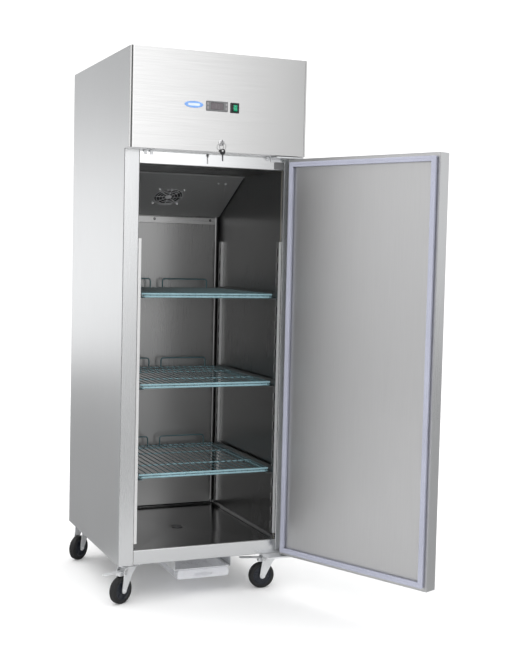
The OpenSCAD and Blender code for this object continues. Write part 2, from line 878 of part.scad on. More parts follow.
module fascia() {
  t = sheet;
  y0 = -fascia_out;
  color([0.84, 0.85, 0.86])
  difference() {
    union() {
      difference() {
        fascia_solid(0, fascia_z, roof_z);
        fascia_solid(t, fascia_z + t, roof_z - t);
      }
      for (s = [-1, 1]) {
        xcyl(2.2, s * 305 - 7, s * 305 + 7, fh_y, fh_z);
        block([s * 305 - 7, y0 + 0.6, fh_z - 0.6], [s * 305 + 7, fh_y, fh_z + 1.2]);
      }
    }
    block([-hw - 1, -50, fascia_z - 1], [hw + 1, -40, fh_z - 2.4]);
    for (s = [-1, 1]) {
      xcyl(1.15, s * 305 - 8, s * 305 + 8, fh_y, fh_z);
      block([s < 0 ? -hw - 1 : 312.2, -50, fh_z - 3], [s < 0 ? -312.2 : hw + 1, -40, roof_z + 1]);
    }
    block([-297.8, -50, fh_z - 3], [297.8, -40, roof_z + 1]);
    block([-53, y0 - 1, 1804.5], [18, y0 + 2, 1833.5]);
    block([38, y0 - 1, 1803], [64, y0 + 2, 1832]);
    ycyl(8.1, lock_x, y0 - 1, y0 + 3, lock_z);
  }
}

// blank oval badge
module badge() {
  color([0.35, 0.55, 0.90])
  translate([-104.5, -fascia_out - 0.05, 1820]) rotate([90, 0, 0])
    scale([34.5 / 12, 1, 1]) cylinder(r = 12, h = 1.6);
}

// temperature controller: front plate with the display window, body behind
module controller() {
  y = -fascia_out;
  color([0.22, 0.22, 0.23])
  difference() {
    union() {
      block([ctl_x[0], y - 3.4, ctl_z[0]], [ctl_x[1], y - 0.1, ctl_z[1]]);
      block([-52.5, y - 1, 1805], [17.5, y + 45, 1833]);
    }
    block([-42, y - 4, 1806], [7, y - 2.6, 1832]);
    for (b = button_at)
      block([b[0] - 4, y - 4, b[1] - 5], [b[0] + 4, y - 1.2, b[1] + 5]);
  }
}

module button(b) {
  color([0.55, 0.55, 0.56])
    block([b[0] - 3.7, -fascia_out - 4.2, b[1] - 4.7],
      [b[0] + 3.7, -fascia_out - 2.4, b[1] + 4.7]);
}

module button_set() { button(button_at[0]); }
module button_up() { button(button_at[1]); }
module button_down() { button(button_at[2]); }
module button_defrost() { button(button_at[3]); }

// lit power switch: bezel with its body, and the rocker on two stub pins
rk_x = 51;
rk_z = 1817.5;

module rocker_bezel() {
  y = -fascia_out;
  color([0.06, 0.06, 0.07])
  difference() {
    union() {
      block([sw_x[0], y - 2.6, sw_z[0]], [sw_x[1], y - 0.1, sw_z[1]]);
      block([38.5, y - 1, 1803.5], [63.5, y + 30, 1831.5]);
    }
    block([rk_x - 10, y - 4, rk_z - 12.6], [rk_x + 10, y + 12, rk_z + 12.6]);
    xcyl(1.55, rk_x - 12, rk_x + 12, y + 3, rk_z);
  }
}

module rocker() {
  y = -fascia_out;
  color([0.10, 0.72, 0.48])
  translate([0, y + 3, rk_z]) rotate([-8, 0, 0])
  union() {
    intersection() {
      block([rk_x - 9.7, -7.5, -12], [rk_x + 9.7, 2, 12]);
      xcyl(13, rk_x - 10, rk_x + 10, 4, 0);
    }
    xcyl(1.5, rk_x - 11.5, rk_x + 11.5, 0, 0);
  }
}

module lock_body() {
  y = -fascia_out;
  color([0.80, 0.80, 0.81])
  difference() {
    union() {
      ycyl(11, lock_x, y - 2.6, y - 0.1, lock_z);
      ycyl(8, lock_x, y - 1, y + 24, lock_z);
    }
    ycyl(6.05, lock_x, y - 4, y + 30, lock_z);
  }
}

// plug with its cam at the back and the working key in it
module lock_plug() {
  y = -fascia_out;
  color([0.78, 0.74, 0.60])
  difference() {
    union() {
      ycyl(6, lock_x, y - 3, y + 28, lock_z);
      block([lock_x - 5, y + 25, lock_z - 6], [lock_x + 5, y + 27.5, lock_z + 22]);
      block([lock_x - 1.1, y - 15, lock_z - 3.5], [lock_x + 1.1, y, lock_z + 3.5]);
      translate([lock_x - 1.1, ring_c[1], lock_z]) rotate([0, 90, 0])
        cylinder(r = 10.5, h = 2.2);
    }
    xcyl(3.6, lock_x - 3, lock_x + 3, ring_c[1], ring_c[2] + ring_r + 1.6);
  }
}

module key_ring() {
  color([0.80, 0.80, 0.82])
  translate(ring_c) rotate([90, 0, 0])
    rotate_extrude() translate([ring_r, 0]) circle(r = 1, $fn = 16);
}

// second key, hanging from the ring
key_c = [ring_c[0], ring_c[1], ring_c[2] - ring_r];

module spare_key() {
  color([0.07, 0.07, 0.08])
  translate(key_c) rotate([0, 0, 45])
  difference() {
    union() {
      translate([-1, 0, -6.5]) rotate([0, 90, 0]) cylinder(r = 11, h = 2);
      block([-1, -3, -40.5], [1, 3, -15]);
    }
    translate([-3, 0, -2.2]) rotate([0, 90, 0]) cylinder(r = 4, h = 6);
  }
}

side_panels();
back_panel();
insulation();
liner();
floor_pan();
front_frame();
duct_panel();
evaporator_cover();
fan_frame();
fan_guard();
evaporator_coil();
panel_screws();
shelf_uprights();
shelf_runners();
hinge_brackets();
tray_rails();
caster_plates();
roof_panel();
rear_grille();
unit_deck();
compressor();
condenser_coil();
condenser_shroud();
refrigerant_pipes();
electrical_box();
fascia_hinge_rail();
door_skin();
door_foam();
door_liner();
door_gasket();
door_bushes();
fascia();
badge();
controller();
button_set();
button_up();
button_down();
button_defrost();
rocker_bezel();
rocker();
lock_body();
lock_plug();
key_ring();
spare_key();
shelf_upper();
shelf_middle();
shelf_lower();
drip_tray();
evaporator_fan();
condenser_fan();
fork_fl();
fork_fr();
fork_rl();
fork_rr();
wheel_fl();
wheel_fr();
wheel_rl();
wheel_rr();
pedal_fl();
pedal_fr();
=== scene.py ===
"""Looks for the single-door reach-in refrigerator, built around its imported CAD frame."""
import bmesh
import bpy
import math
from mathutils import Matrix, Vector


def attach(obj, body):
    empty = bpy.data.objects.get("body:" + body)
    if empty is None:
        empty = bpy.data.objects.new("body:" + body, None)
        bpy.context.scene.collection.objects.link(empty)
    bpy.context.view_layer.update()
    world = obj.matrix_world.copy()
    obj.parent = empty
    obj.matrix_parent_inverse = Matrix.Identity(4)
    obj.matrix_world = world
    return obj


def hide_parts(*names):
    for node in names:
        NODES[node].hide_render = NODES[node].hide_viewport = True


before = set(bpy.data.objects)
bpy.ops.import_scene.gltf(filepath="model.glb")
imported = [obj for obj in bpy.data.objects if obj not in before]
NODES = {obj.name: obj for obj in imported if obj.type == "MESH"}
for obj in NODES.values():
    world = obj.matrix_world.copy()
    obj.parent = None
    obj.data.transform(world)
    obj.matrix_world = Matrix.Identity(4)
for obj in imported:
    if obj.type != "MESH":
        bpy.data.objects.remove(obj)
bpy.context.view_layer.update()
MM = 0.001
scene = bpy.context.scene

# Sizes and places below are in millimetres in the row frame, unless a name says otherwise.

# ---------------------------------------------------------------- camera

# the photograph's camera, as the cabinet's straight edges give it
CAMERA_AT_M = (-1.49485, -3.96804, 1.30055)
CAMERA_YAW, CAMERA_PITCH, CAMERA_ROLL = -23.11, -3.76, 1.34
LENS, SENSOR = 63.12, 36


def make_camera():
    yaw, pitch, roll = (math.radians(a) for a in (CAMERA_YAW, CAMERA_PITCH, CAMERA_ROLL))
    level = math.cos(pitch)
    fwd = Vector((-math.sin(yaw) * level, math.cos(yaw) * level, math.sin(pitch)))
    right = Vector((math.cos(yaw), math.sin(yaw), 0))
    up = right.cross(fwd)
    side = right * math.cos(roll) + up * math.sin(roll)
    top = up * math.cos(roll) - right * math.sin(roll)
    place = Matrix((side, top, -fwd)).transposed().to_4x4()
    place.translation = Vector(CAMERA_AT_M)
    data = bpy.data.cameras.new("camera")
    data.lens, data.sensor_width = LENS, SENSOR
    data.clip_start, data.clip_end = 0.05, 60
    cam = bpy.data.objects.new("camera", data)
    scene.collection.objects.link(cam)
    cam.matrix_world = place
    scene.camera = cam


make_camera()

# ---------------------------------------------------------------- materials


class Tree:
    """Short names for making and joining shader nodes."""

    def __init__(self, tree):
        self.t = tree

    def add(self, kind, ins=None, **props):
        n = self.t.nodes.new("ShaderNode" + kind)
        for k, v in props.items():
            setattr(n, k, v)
        for k, v in (ins or {}).items():
            self.put(n.inputs[k], v)
        return n

    def put(self, socket, v):
        if isinstance(v, bpy.types.NodeSocket):
            self.t.links.new(v, socket)
        else:
            socket.default_value = v

    def math(self, op, a, b):
        return self.add("Math", {0: a, 1: b}, operation=op).outputs[0]

    def ramp(self, v, lo, hi, a, b, soft=False):
        n = self.add("MapRange", {"Value": v, "From Min": lo, "From Max": hi, "To Min": a,
                                  "To Max": b})
        n.interpolation_type = "SMOOTHSTEP" if soft else "LINEAR"
        return n.outputs[0]

    def mix(self, f, a, b, blend="MIX"):
        n = self.add("Mix", data_type="RGBA", blend_type=blend)
        for i, v in ((0, f), (6, a), (7, b)):
            if i and not isinstance(v, bpy.types.NodeSocket):
                v = (*v[:3], 1)
            self.put(n.inputs[i], v)
        return n.outputs[2]

    def noise(self, at, scale, detail=3.0, rough=0.6):
        return self.add("TexNoise", {"Vector": at, "Scale": scale, "Detail": detail,
                                     "Roughness": rough}).outputs[0]


MAT = {}


def surface(name, color, other=None, metallic=0.0, rough=0.4, spread=0.06, grain=(60, 60, 60),
            bump=0.1, depth=0.2, cloud=2.5, cloud_amp=0.06, coat=0.0, ior=1.5, glow=0.0, crevice_shade=0.0,
            cells=0.0, sheen=0.0, scuff=0.0, soft=0.0):
    """A procedural finish: stretched grain, slow clouds, scuffs, painted shade in corners, spangle.

    grain, cloud and cells are noise scales per metre; spread and cloud_amp say how far roughness
    and shade wander; depth is the height of the grain in millimetres.
    """
    m = bpy.data.materials.new(name)
    m.use_nodes = True
    t = Tree(m.node_tree)
    out = m.node_tree.nodes["Principled BSDF"]
    at = t.add("TexCoord").outputs["Object"]
    g = t.noise(t.add("Mapping", {"Vector": at, "Scale": grain}).outputs[0], 1.0, 4.0)
    c = t.noise(at, cloud, 3.0, 0.5)
    col = t.mix(t.ramp(g, 0.3, 0.7, 0, 1), color, other or [x * 0.86 for x in color])
    shade = t.ramp(c, 0.3, 0.7, 1 - cloud_amp, 1 + cloud_amp)
    r = t.math("ADD", t.ramp(g, 0.3, 0.7, rough - spread, rough + spread),
               t.ramp(c, 0.3, 0.7, -cloud_amp * 0.5, cloud_amp * 0.5))
    if cells:
        v = t.add("TexVoronoi", {"Vector": at, "Scale": cells, "Randomness": 1.0})
        tone = t.add("SeparateColor", {0: v.outputs["Color"]}).outputs[0]
        shade = t.math("MULTIPLY", shade, t.ramp(tone, 0, 1, 0.93, 1.04))
        r = t.math("ADD", r, t.ramp(tone, 0, 1, -0.03, 0.03))
    if scuff:
        far = t.add("Mapping", {"Vector": at, "Scale": (22, 22, 22), "Rotation": (0.5, 0.9, 0.3)})
        s = t.noise(far.outputs[0], 1.0, 8.0, 0.75)
        s = t.ramp(s, 0.62, 0.72, 0, scuff, True)
        col = t.mix(s, col, [min(1, x * 0.6 + 0.16) for x in color])
        r = t.math("ADD", r, t.math("MULTIPLY", s, 0.3))
    if crevice_shade:
        # painted shade: ambient occlusion darkens corners and crevices towards a dark brown-grey
        # and roughens them
        ao = t.add("AmbientOcclusion", {"Distance": 0.006}, samples=4)
        d = t.ramp(ao.outputs["AO"], 0.25, 0.85, crevice_shade, 0, True)
        col = t.mix(d, col, (0.05, 0.045, 0.04))
        r = t.math("ADD", r, t.math("MULTIPLY", d, 0.3))
    tone = t.add("CombineColor", {0: shade, 1: shade, 2: shade}).outputs[0]
    col = t.mix(1.0, col, tone, "MULTIPLY")
    t.put(out.inputs["Base Color"], col)
    t.put(out.inputs["Roughness"], t.math("MAXIMUM", r, 0.04))
    b = t.add("Bump", {"Strength": bump, "Distance": depth * MM, "Height": g})
    t.put(out.inputs["Normal"], b.outputs[0])
    for k, v in (("Metallic", metallic), ("IOR", ior), ("Coat Weight", coat),
                 ("Coat Roughness", 0.08), ("Emission Strength", glow), ("Sheen Weight", sheen),
                 ("Subsurface Weight", soft), ("Subsurface Scale", 0.03),
                 ("Subsurface Radius", (1, 1, 1))):
        t.put(out.inputs[k], v)
    if glow:
        t.put(out.inputs["Emission Color"], col)
    MAT[name] = m
    return m


UP = (900, 900, 7)          # vertical brush marks
ACROSS = (7, 900, 900)      # horizontal brush marks


def brushed(name, tone, rough, grain, fade=0.955, **kw):
    """Brushed steel, whose marks are darker than the sheet by the factor fade."""
    other = [x * fade for x in tone]
    surface(name, tone, other, rough=rough, grain=grain,
            **{"metallic": 1.0, "spread": 0.03, "bump": 0.07, "depth": 0.05, "cloud": 1.6,
               "cloud_amp": 0.025, **kw})


brushed("side_steel", (0.74, 0.75, 0.76), 0.34, UP)
brushed("post_steel", (0.80, 0.81, 0.82), 0.26, UP)
brushed("sill_steel", (0.80, 0.81, 0.82), 0.24, ACROSS)
brushed("fascia_steel", (0.80, 0.80, 0.80), 0.22, ACROSS)
brushed("rail_steel", (0.86, 0.87, 0.88), 0.09, ACROSS, spread=0.02, bump=0.04)
brushed("door_steel", (0.74, 0.75, 0.76), 0.30, UP)
brushed("door_inner_steel", (0.66, 0.66, 0.665), 0.40, UP)
# painted shade: the liner, duct and floor steels are far darker copies of the outer brushed steel,
# standing in for the shade and dark reflections inside the cabinet
INNER = {"fade": 0.985, "spread": 0.006, "bump": 0.009, "cloud_amp": 0.02}
brushed("liner_steel", (0.315, 0.315, 0.315), 0.28, UP, **INNER)
brushed("cover_steel", (0.445, 0.445, 0.445), 0.40, ACROSS, 0.98, metallic=0.6)
brushed("duct_steel", (0.355, 0.355, 0.355), 0.28, UP, **INNER)
brushed("floor_steel", (0.355, 0.355, 0.355), 0.18, ACROSS, 0.98)
brushed("upright_steel", (0.46, 0.46, 0.46), 0.30, UP)
# painted light: a paler copy of the upright steel for the uprights' front flanges, which face the
# light
brushed("upright_lit_front", (0.86, 0.86, 0.86), 0.34, UP, metallic=0.7)
brushed("strip_steel", (0.62, 0.62, 0.62), 0.30, ACROSS, metallic=0.7)
# painted light: a pale, barely metallic copy of the brushed steel, so the shaded lips under the
# fascia read as lit
brushed("lip_steel", (0.92, 0.92, 0.92), 0.36, ACROSS, metallic=0.2)
brushed("runner_steel", (0.34, 0.34, 0.34), 0.34, (900, 7, 900))
surface("galvanised", (0.62, 0.63, 0.64), (0.59, 0.60, 0.61), metallic=0.9, rough=0.40,
        grain=(60, 60, 60), cells=90, bump=0.015, spread=0.02, scuff=0.06)
surface("zinc", (0.88, 0.89, 0.90), (0.80, 0.81, 0.83), metallic=0.55, rough=0.34,
        grain=(320, 320, 320), bump=0.12, depth=0.05, cloud=30, cloud_amp=0.06, crevice_shade=0.40,
        scuff=0.12)
surface("screw_steel", (0.30, 0.30, 0.31), (0.22, 0.22, 0.23), metallic=1.0, rough=0.32,
        grain=(500, 500, 500), cloud=60, crevice_shade=0.5)
surface("chrome", (0.84, 0.84, 0.85), (0.78, 0.78, 0.79), metallic=1.0, rough=0.12, spread=0.03,
        grain=(500, 500, 500), bump=0.04, depth=0.03, cloud=40)
# painted highlight: a near-white, half-metallic copy of chrome for the guard wires and the cover
# and guard screws
surface("wire_chrome", (0.97, 0.97, 0.98), (0.90, 0.90, 0.92), metallic=0.35, rough=0.24,
        spread=0.03, grain=(500, 500, 500), bump=0.04, depth=0.03, cloud=40)
surface("foam", (0.86, 0.78, 0.55), (0.74, 0.64, 0.40), rough=0.9, grain=(380, 380, 380),
        bump=0.6, depth=0.8, cloud=8)
surface("black_plastic", (0.018, 0.018, 0.020), (0.028, 0.028, 0.030), rough=0.38,
        grain=(700, 700, 700), bump=0.22, depth=0.08, cloud=20, scuff=0.12)
surface("bezel_plastic", (0.155, 0.157, 0.162), (0.185, 0.187, 0.190), rough=0.42,
        grain=(900, 900, 900), bump=0.25, depth=0.06, cloud=30)
surface("button_plastic", (0.34, 0.33, 0.34), (0.27, 0.26, 0.27), rough=0.45,
        grain=(900, 900, 900), bump=0.15, depth=0.05, cloud=60)
surface("display", (0.115, 0.095, 0.105), (0.100, 0.085, 0.094), rough=0.20, grain=(40, 900, 900),
        bump=0.02, cloud=25, coat=0.8, spread=0.03)
surface("green_plastic", (0.006, 0.33, 0.165), (0.004, 0.27, 0.135), rough=0.24,
        grain=(300, 300, 500), bump=0.05, cloud=60, coat=0.4, glow=0.12)
surface("badge_blue", (0.17, 0.36, 0.80), (0.22, 0.42, 0.84), rough=0.28, grain=(60, 200, 200),
        bump=0.02, cloud=30, coat=0.6)
surface("badge_rim", (0.72, 0.80, 0.92), (0.62, 0.72, 0.90), rough=0.25, grain=(300, 300, 300),
        bump=0.03, cloud=30, coat=0.6)
surface("coil_aluminium", (0.66, 0.67, 0.68), (0.56, 0.57, 0.58), metallic=1.0, rough=0.36,
        grain=(300, 300, 20), cloud=12, crevice_shade=0.6)
surface("copper", (0.72, 0.36, 0.22), (0.50, 0.24, 0.14), metallic=1.0, rough=0.30,
        grain=(90, 90, 90), cloud=16, cloud_amp=0.16, crevice_shade=0.4)
surface("black_paint", (0.015, 0.015, 0.016), (0.024, 0.024, 0.026), rough=0.30,
        grain=(260, 260, 260), bump=0.35, depth=0.25, cloud=12, coat=0.2, scuff=0.2)
surface("grey_paint", (0.13, 0.135, 0.14), (0.10, 0.105, 0.11), rough=0.42, grain=(420, 420, 420),
        bump=0.4, depth=0.15, cloud=10, scuff=0.15)
surface("coated_wire", (0.30, 0.47, 0.52), (0.24, 0.40, 0.45), rough=0.32, grain=(240, 240, 240),
        bump=0.15, depth=0.15, cloud=14, cloud_amp=0.10, coat=0.35, crevice_shade=0.30, metallic=0.25)
# painted shade: a darker copy of the wire coating for the shelf's long wires and rear stops, which
# show dark against the lit back wall
surface("wire_coating_shaded", (0.11, 0.20, 0.22), (0.08, 0.16, 0.18), rough=0.36, grain=(240, 240, 240),
        bump=0.15, depth=0.15, cloud=14, coat=0.3, metallic=0.2)
surface("gasket_vinyl", (0.45, 0.465, 0.56), (0.41, 0.425, 0.52), rough=0.46,
        grain=(160, 160, 160), bump=0.12, depth=0.1, cloud=5, crevice_shade=0.5, sheen=0.1)
surface("nylon", (0.78, 0.77, 0.72), (0.70, 0.69, 0.64), rough=0.45, grain=(200, 200, 200),
        cloud=30)
# glow=0.10 is painted light: a faint emission standing in for light passing through the translucent
# plastic
surface("tray_plastic", (0.68, 0.69, 0.72), (0.64, 0.65, 0.69), rough=0.30, grain=(150, 150, 150),
        bump=0.12, depth=0.15, cloud=9, coat=0.2, ior=1.45, scuff=0.1, soft=0.5, glow=0.10)
surface("box_plastic", (0.66, 0.66, 0.64), (0.60, 0.60, 0.58), rough=0.5, grain=(500, 500, 500),
        bump=0.2, cloud=14)
surface("tyre_rubber", (0.008, 0.008, 0.009), (0.016, 0.016, 0.017), rough=0.62,
        grain=(260, 260, 260), bump=0.35, depth=0.25, cloud=22, scuff=0.35)
surface("hub_plastic", (0.012, 0.015, 0.022), (0.020, 0.024, 0.034), rough=0.40,
        grain=(420, 420, 420), bump=0.2, depth=0.1, cloud=24, scuff=0.25)

# ---------------------------------------------------------------- mesh building

SAME_POINT_M, WELD_M = 1e-7, 1e-5
FACES_FRONT = -0.7          # a normal's Y below this is a front face
CAD_EDGE = 0.35             # edge radius of the CAD nodes that are kept


def arc(cx, cy, r, a0, a1, n):
    return [(cx + r * math.cos(math.radians(a0 + (a1 - a0) * i / n)),
             cy + r * math.sin(math.radians(a0 + (a1 - a0) * i / n))) for i in range(n + 1)]


def round_rect(x0, y0, x1, y1, r, n=5):
    """Outline of a rectangle with round corners, the same number of points for any r."""
    return (arc(x1 - r, y0 + r, r, -90, 0, n) + arc(x1 - r, y1 - r, r, 0, 90, n)
            + arc(x0 + r, y1 - r, r, 90, 180, n) + arc(x0 + r, y0 + r, r, 180, 270, n))


def fillet(pts, r, n=5):
    """An open line with its inner corners rounded."""
    out = [Vector(pts[0])]
    for a, b, c in zip(pts, pts[1:], pts[2:]):
        a, b, c = Vector(a), Vector(b), Vector(c)
        u, v = (a - b).normalized(), (c - b).normalized()
        half = u.angle(v) / 2
        d = min(r / max(math.tan(half), 1e-6), (a - b).length * 0.49, (c - b).length * 0.49)
        p, q = b + u * d, b + v * d
        for i in range(n + 1):
            s = i / n
            out.append(p * (1 - s) ** 2 + b * 2 * s * (1 - s) + q * s * s)
    out.append(Vector(pts[-1]))
    return out


def fold(pts, t, r):
    """Outline of a folded sheet of thickness t whose middle line runs through pts."""
    line = fillet([Vector(p) for p in pts], r)
    left, right = [], []
    for i, p in enumerate(line):
        d = (line[min(i + 1, len(line) - 1)] - line[max(i - 1, 0)]).normalized()
        n = Vector((-d.y, d.x)) * t / 2
        left.append(p + n)
        right.append(p - n)
    return [tuple(p) for p in left + right[::-1]]


class Shape:
    """Collects closed solids in millimetres; make() turns them into one piece."""

    def __init__(self, place=None):
        self.v, self.f, self.m = [], [], []
        self.place = place or Matrix.Identity(4)
        self.mat = 0

    def put(self, verts, faces):
        k = len(self.v)
        self.v += [self.place @ Vector(p) for p in verts]
        self.f += [[i + k for i in f] for f in faces]
        self.m += [self.mat] * len(faces)
        return self

    def rings(self, rings, closed=False):
        """Joins outlines of equal length, one after another."""
        n, k = len(rings[0]), len(rings)
        verts = [p for ring in rings for p in ring]
        faces = []
        for j in range(k if closed else k - 1):
            a, b = j * n, (j + 1) % k * n
            faces += [(a + i, a + (i + 1) % n, b + (i + 1) % n, b + i) for i in range(n)]
        if not closed:
            faces += [list(range(n))[::-1], [(k - 1) * n + i for i in range(n)]]
        return self.put(verts, faces)

    def prism(self, poly, axis, lo, hi):
        def at(p, h):
            return {"x": (h, p[0], p[1]), "y": (p[0], h, p[1]), "z": (p[0], p[1], h)}[axis]
        return self.rings([[at(p, lo) for p in poly], [at(p, hi) for p in poly]])

    def box(self, a, b):
        return self.prism([a[:2], (b[0], a[1]), b[:2], (a[0], b[1])], "z", a[2], b[2])

    def turn(self, prof, at=(0, 0, 0), axis="z", n=40, closed=False):
        """Turns a profile of (radius, height) about an axis through at."""
        rings = []
        for r, h in prof:
            ring = []
            for i in range(n):
                c, s = r * math.cos(2 * math.pi * i / n), r * math.sin(2 * math.pi * i / n)
                p = {"x": (h, c, s), "y": (s, h, c), "z": (c, s, h)}[axis]
                ring.append((p[0] + at[0], p[1] + at[1], p[2] + at[2]))
            rings.append(ring)
        return self.rings(rings, closed=closed)

    def tube(self, pts, r, n=10, closed=False):
        """A round bar along a line of points."""
        pts = [Vector(p) for p in pts]
        k = len(pts)
        rings = []
        up = None
        for i, p in enumerate(pts):
            a = pts[(i - 1) % k] if closed or i else p
            b = pts[(i + 1) % k] if closed or i < k - 1 else p
            d = (b - a).normalized()
            if up is None:
                up = d.orthogonal().normalized()
            up = (up - d * up.dot(d)).normalized()
            w = d.cross(up)
            rings.append([tuple(p + (up * math.cos(2 * math.pi * j / n)
                                     + w * math.sin(2 * math.pi * j / n)) * r) for j in range(n)])
        return self.rings(rings, closed=closed)

    def hexhead(self, at, axis, r, h):
        """Hexagon head with a chamfered crown, growing along the axis."""
        s = 1 if h > 0 else -1
        crown = [(0.1, 0), (r, 0), (r, h - s * r * 0.12), (r * 0.86, h), (0.1, h)]
        return self.turn(crown, at, axis, 6)

    def make(self, name, mats, body, slot, replaces=(), bevel=0.4, limit=40, smooth=True):
        """One piece that rides on a body and stands for the CAD nodes it replaces."""
        me = bpy.data.meshes.new(name)
        me.from_pydata([p * MM for p in self.v], [], self.f)
        for m in ([mats] if isinstance(mats, str) else mats):
            me.materials.append(MAT[m])
        me.polygons.foreach_set("material_index", self.m)
        bm = bmesh.new()
        bm.from_mesh(me)
        bmesh.ops.remove_doubles(bm, verts=bm.verts, dist=SAME_POINT_M)
        bmesh.ops.recalc_face_normals(bm, faces=bm.faces)
        bm.to_mesh(me)
        bm.free()
        ob = bpy.data.objects.new(name, me)
        scene.collection.objects.link(ob)
        soften(ob, bevel, limit, smooth)
        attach(ob, body)
        if replaces:
            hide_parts(*replaces)
        return ob


def soften(ob, bevel, limit=40, smooth=True, weld=False):
    """Rounds the edges of a piece and evens its shading."""
    ob.data.polygons.foreach_set("use_smooth", [smooth] * len(ob.data.polygons))
    if weld:
        ob.modifiers.new("weld", "WELD").merge_threshold = WELD_M
    if bevel:
        m = ob.modifiers.new("edges", "BEVEL")
        m.width, m.segments = bevel * MM, 2
        m.limit_method, m.angle_limit = "ANGLE", math.radians(limit)
        m.use_clamp_overlap = True
    if smooth:
        w = ob.modifiers.new("shading", "WEIGHTED_NORMAL")
        w.keep_sharp = False


def keep(node, mat, bevel, front=None):
    """A CAD node whose shape is right: round edges, a better finish, and front on what faces -Y
    (for the uprights a paler copy of their steel: painted light on the lit front flange).
    """
    ob = NODES[node]
    ob.data.materials.clear()
    for name in (mat, front or mat):
        ob.data.materials.append(MAT[name])
    turn = ob.matrix_world.to_3x3()
    ob.data.polygons.foreach_set(
        "material_index", [int((turn @ p.normal).y < FACES_FRONT) for p in ob.data.polygons])
    if "custom_normal" in ob.data.attributes:
        ob.data.attributes.remove(ob.data.attributes["custom_normal"])
    soften(ob, bevel, weld=True)


for node, mat in {
        "side_panels": "side_steel", "back_panel": "galvanised", "roof_panel": "side_steel",
        "rear_grille": "galvanised", "unit_deck": "galvanised",
        "evaporator_cover": "cover_steel", "fan_frame": "black_plastic",
        "evaporator_coil": "coil_aluminium", "shelf_uprights": "upright_steel",
        "shelf_runners": "runner_steel", "hinge_brackets": "zinc", "tray_rails": "zinc",
        "caster_plates": "zinc", "compressor": "black_paint", "condenser_coil": "coil_aluminium",
        "condenser_shroud": "grey_paint", "refrigerant_pipes": "copper",
        "electrical_box": "box_plastic", "fascia_hinge_rail": "galvanised",
        "door_skin": "door_steel", "door_liner": "door_inner_steel", "door_bushes": "nylon",
        "fascia": "fascia_steel", "condenser_fan": "coil_aluminium",
        "insulation": "foam", "door_foam": "foam"}.items():
    keep(node, mat, 0 if mat == "foam" else CAD_EDGE,
         front="upright_lit_front" if node == "shelf_uprights" else None)

# ---------------------------------------------------------------- cabinet

POST_IN, SILL, OPEN_Z, DECK = 282.5, 204, 1607, 1666
SLANT_ANGLE = 29.549
SLANT = Matrix.Translation((0, 380, OPEN_Z)) @ Matrix.Rotation(-math.radians(SLANT_ANGLE), 4, "X")
FAN = SLANT @ Matrix.Translation((3, 174, 0))
FAN_SCREW = 52.5            # from the fan's middle to its screws, along both sides
DUCT_Y = 665
SHELF_Z = {"shelf_lower": 469.5, "shelf_middle": 802.0, "shelf_upper": 1135.5}
UPRIGHT_Y = (4, 610)
STOP_X = (-261, -239, 213)


def front_frame():
    """Folded posts, sill and the polished rail over the opening."""
    for name, s in (("post_left", -1), ("post_right", 1)):
        a, b = s * (POST_IN + 0.6), s * 338.1
        line = [(a, 19.4), (a, 0.6), (b, 0.6), (b, 19.4)]
        Shape().prism(fold(line, 1.2, 2.2), "z", 149.2, DECK - 0.4).make(
            name, "post_steel", "cabinet", "brushed_outer", ["front_frame"], 0.3)
    x = POST_IN - 0.3
    line = [(19.4, 149.9), (0.6, 149.9), (0.6, SILL - 2.6), (19.4, SILL - 2.6)]
    Shape().prism(fold(line, 1.2, 2.5), "x", -x, x).make(
        "sill", "sill_steel", "cabinet", "brushed_outer", ["front_frame"], 0.3)
    line = [(19.4, OPEN_Z + 0.7), (0.6, OPEN_Z + 0.7), (0.6, DECK - 0.9), (19.4, DECK - 0.9)]
    Shape().prism(fold(line, 1.2, 2.0), "x", -x, x).make(
        "top_rail", "rail_steel", "cabinet", "mirror_trim", ["front_frame"], 0.3)


def stop_tabs():
    """Small angle brackets on the top rail that the fascia closes against."""
    tabs = Shape()
    for at in STOP_X:
        tabs.box((at - 5, -33, 1654.8), (at + 5, -0.2, 1656.4))
        tabs.box((at - 5, -1.8, 1640), (at + 5, -0.3, 1656))
        tabs.turn([(0.1, 0), (3.2, 0), (3.2, -2.4), (2.2, -3.8), (0.1, -4.0)],
                  (at, -28, 1654.8), "z", 16)
    tabs.make("fascia_stop_tabs", "zinc", "cabinet", "zinc", (), 0.3)


def slot_shade_strips():
    """Painted shade: dark strips behind the uprights' slots, standing in for the shade seen through
    them, cut away where the runners hook in.
    """
    slots = Shape()
    for q in (-1, 1):
        near, far = sorted((q * 271.7, q * 272.5))
        for y in UPRIGHT_Y:
            for low, high in ((232, 464), (480, 797), (813, 1130), (1146, 1334)):
                slots.prism(round_rect(near, y + 3, far, y + 23, 0.3, 2), "z", low, high)
    slots.make("upright_slot_shade", "tyre_rubber", "cabinet", "black_plastic", (), 0.1)


def hinge_anchor_cover():
    """Grey plate with two flush screws at the right end of the top rail."""
    plate = Shape()
    plate.prism(round_rect(241, 1610, 281, 1637, 3, 4), "y", -1.7, -0.3)
    for u in (248, 274):
        plate.turn([(0.1, -2.2), (3.0, -2.15), (3.7, -1.9), (3.8, -1.6), (0.1, -1.6)],
                   (u, 0, 1623.5), "y", 20)
    plate.make("hinge_anchor_cover", "bezel_plastic", "cabinet", "black_plastic", (), 0.3)


def lower_lips():
    """Folded front edge under the machine compartment, and the fascia's lower return."""
    # both lips wear the pale copy of the steel: painted light on their shaded faces
    under = Shape()
    under.prism(fold([(-46.6, 1664), (-46.6, 1657.7), (-1.2, 1657.7), (-1.2, 1664)], 0.9, 1.2),
                "x", -336.5, 336.5)
    under.make("unit_front_sill", "lip_steel", "cabinet", "brushed_outer", (), 0.2)
    lip = Shape()
    lip.prism(fold([(-63.6, 1658), (-49.2, 1658), (-49.2, 1664)], 0.9, 1.2), "x", -325, 325)
    lip.make("fascia_lower_return", "lip_steel", "fascia", "brushed_outer", (), 0.2)


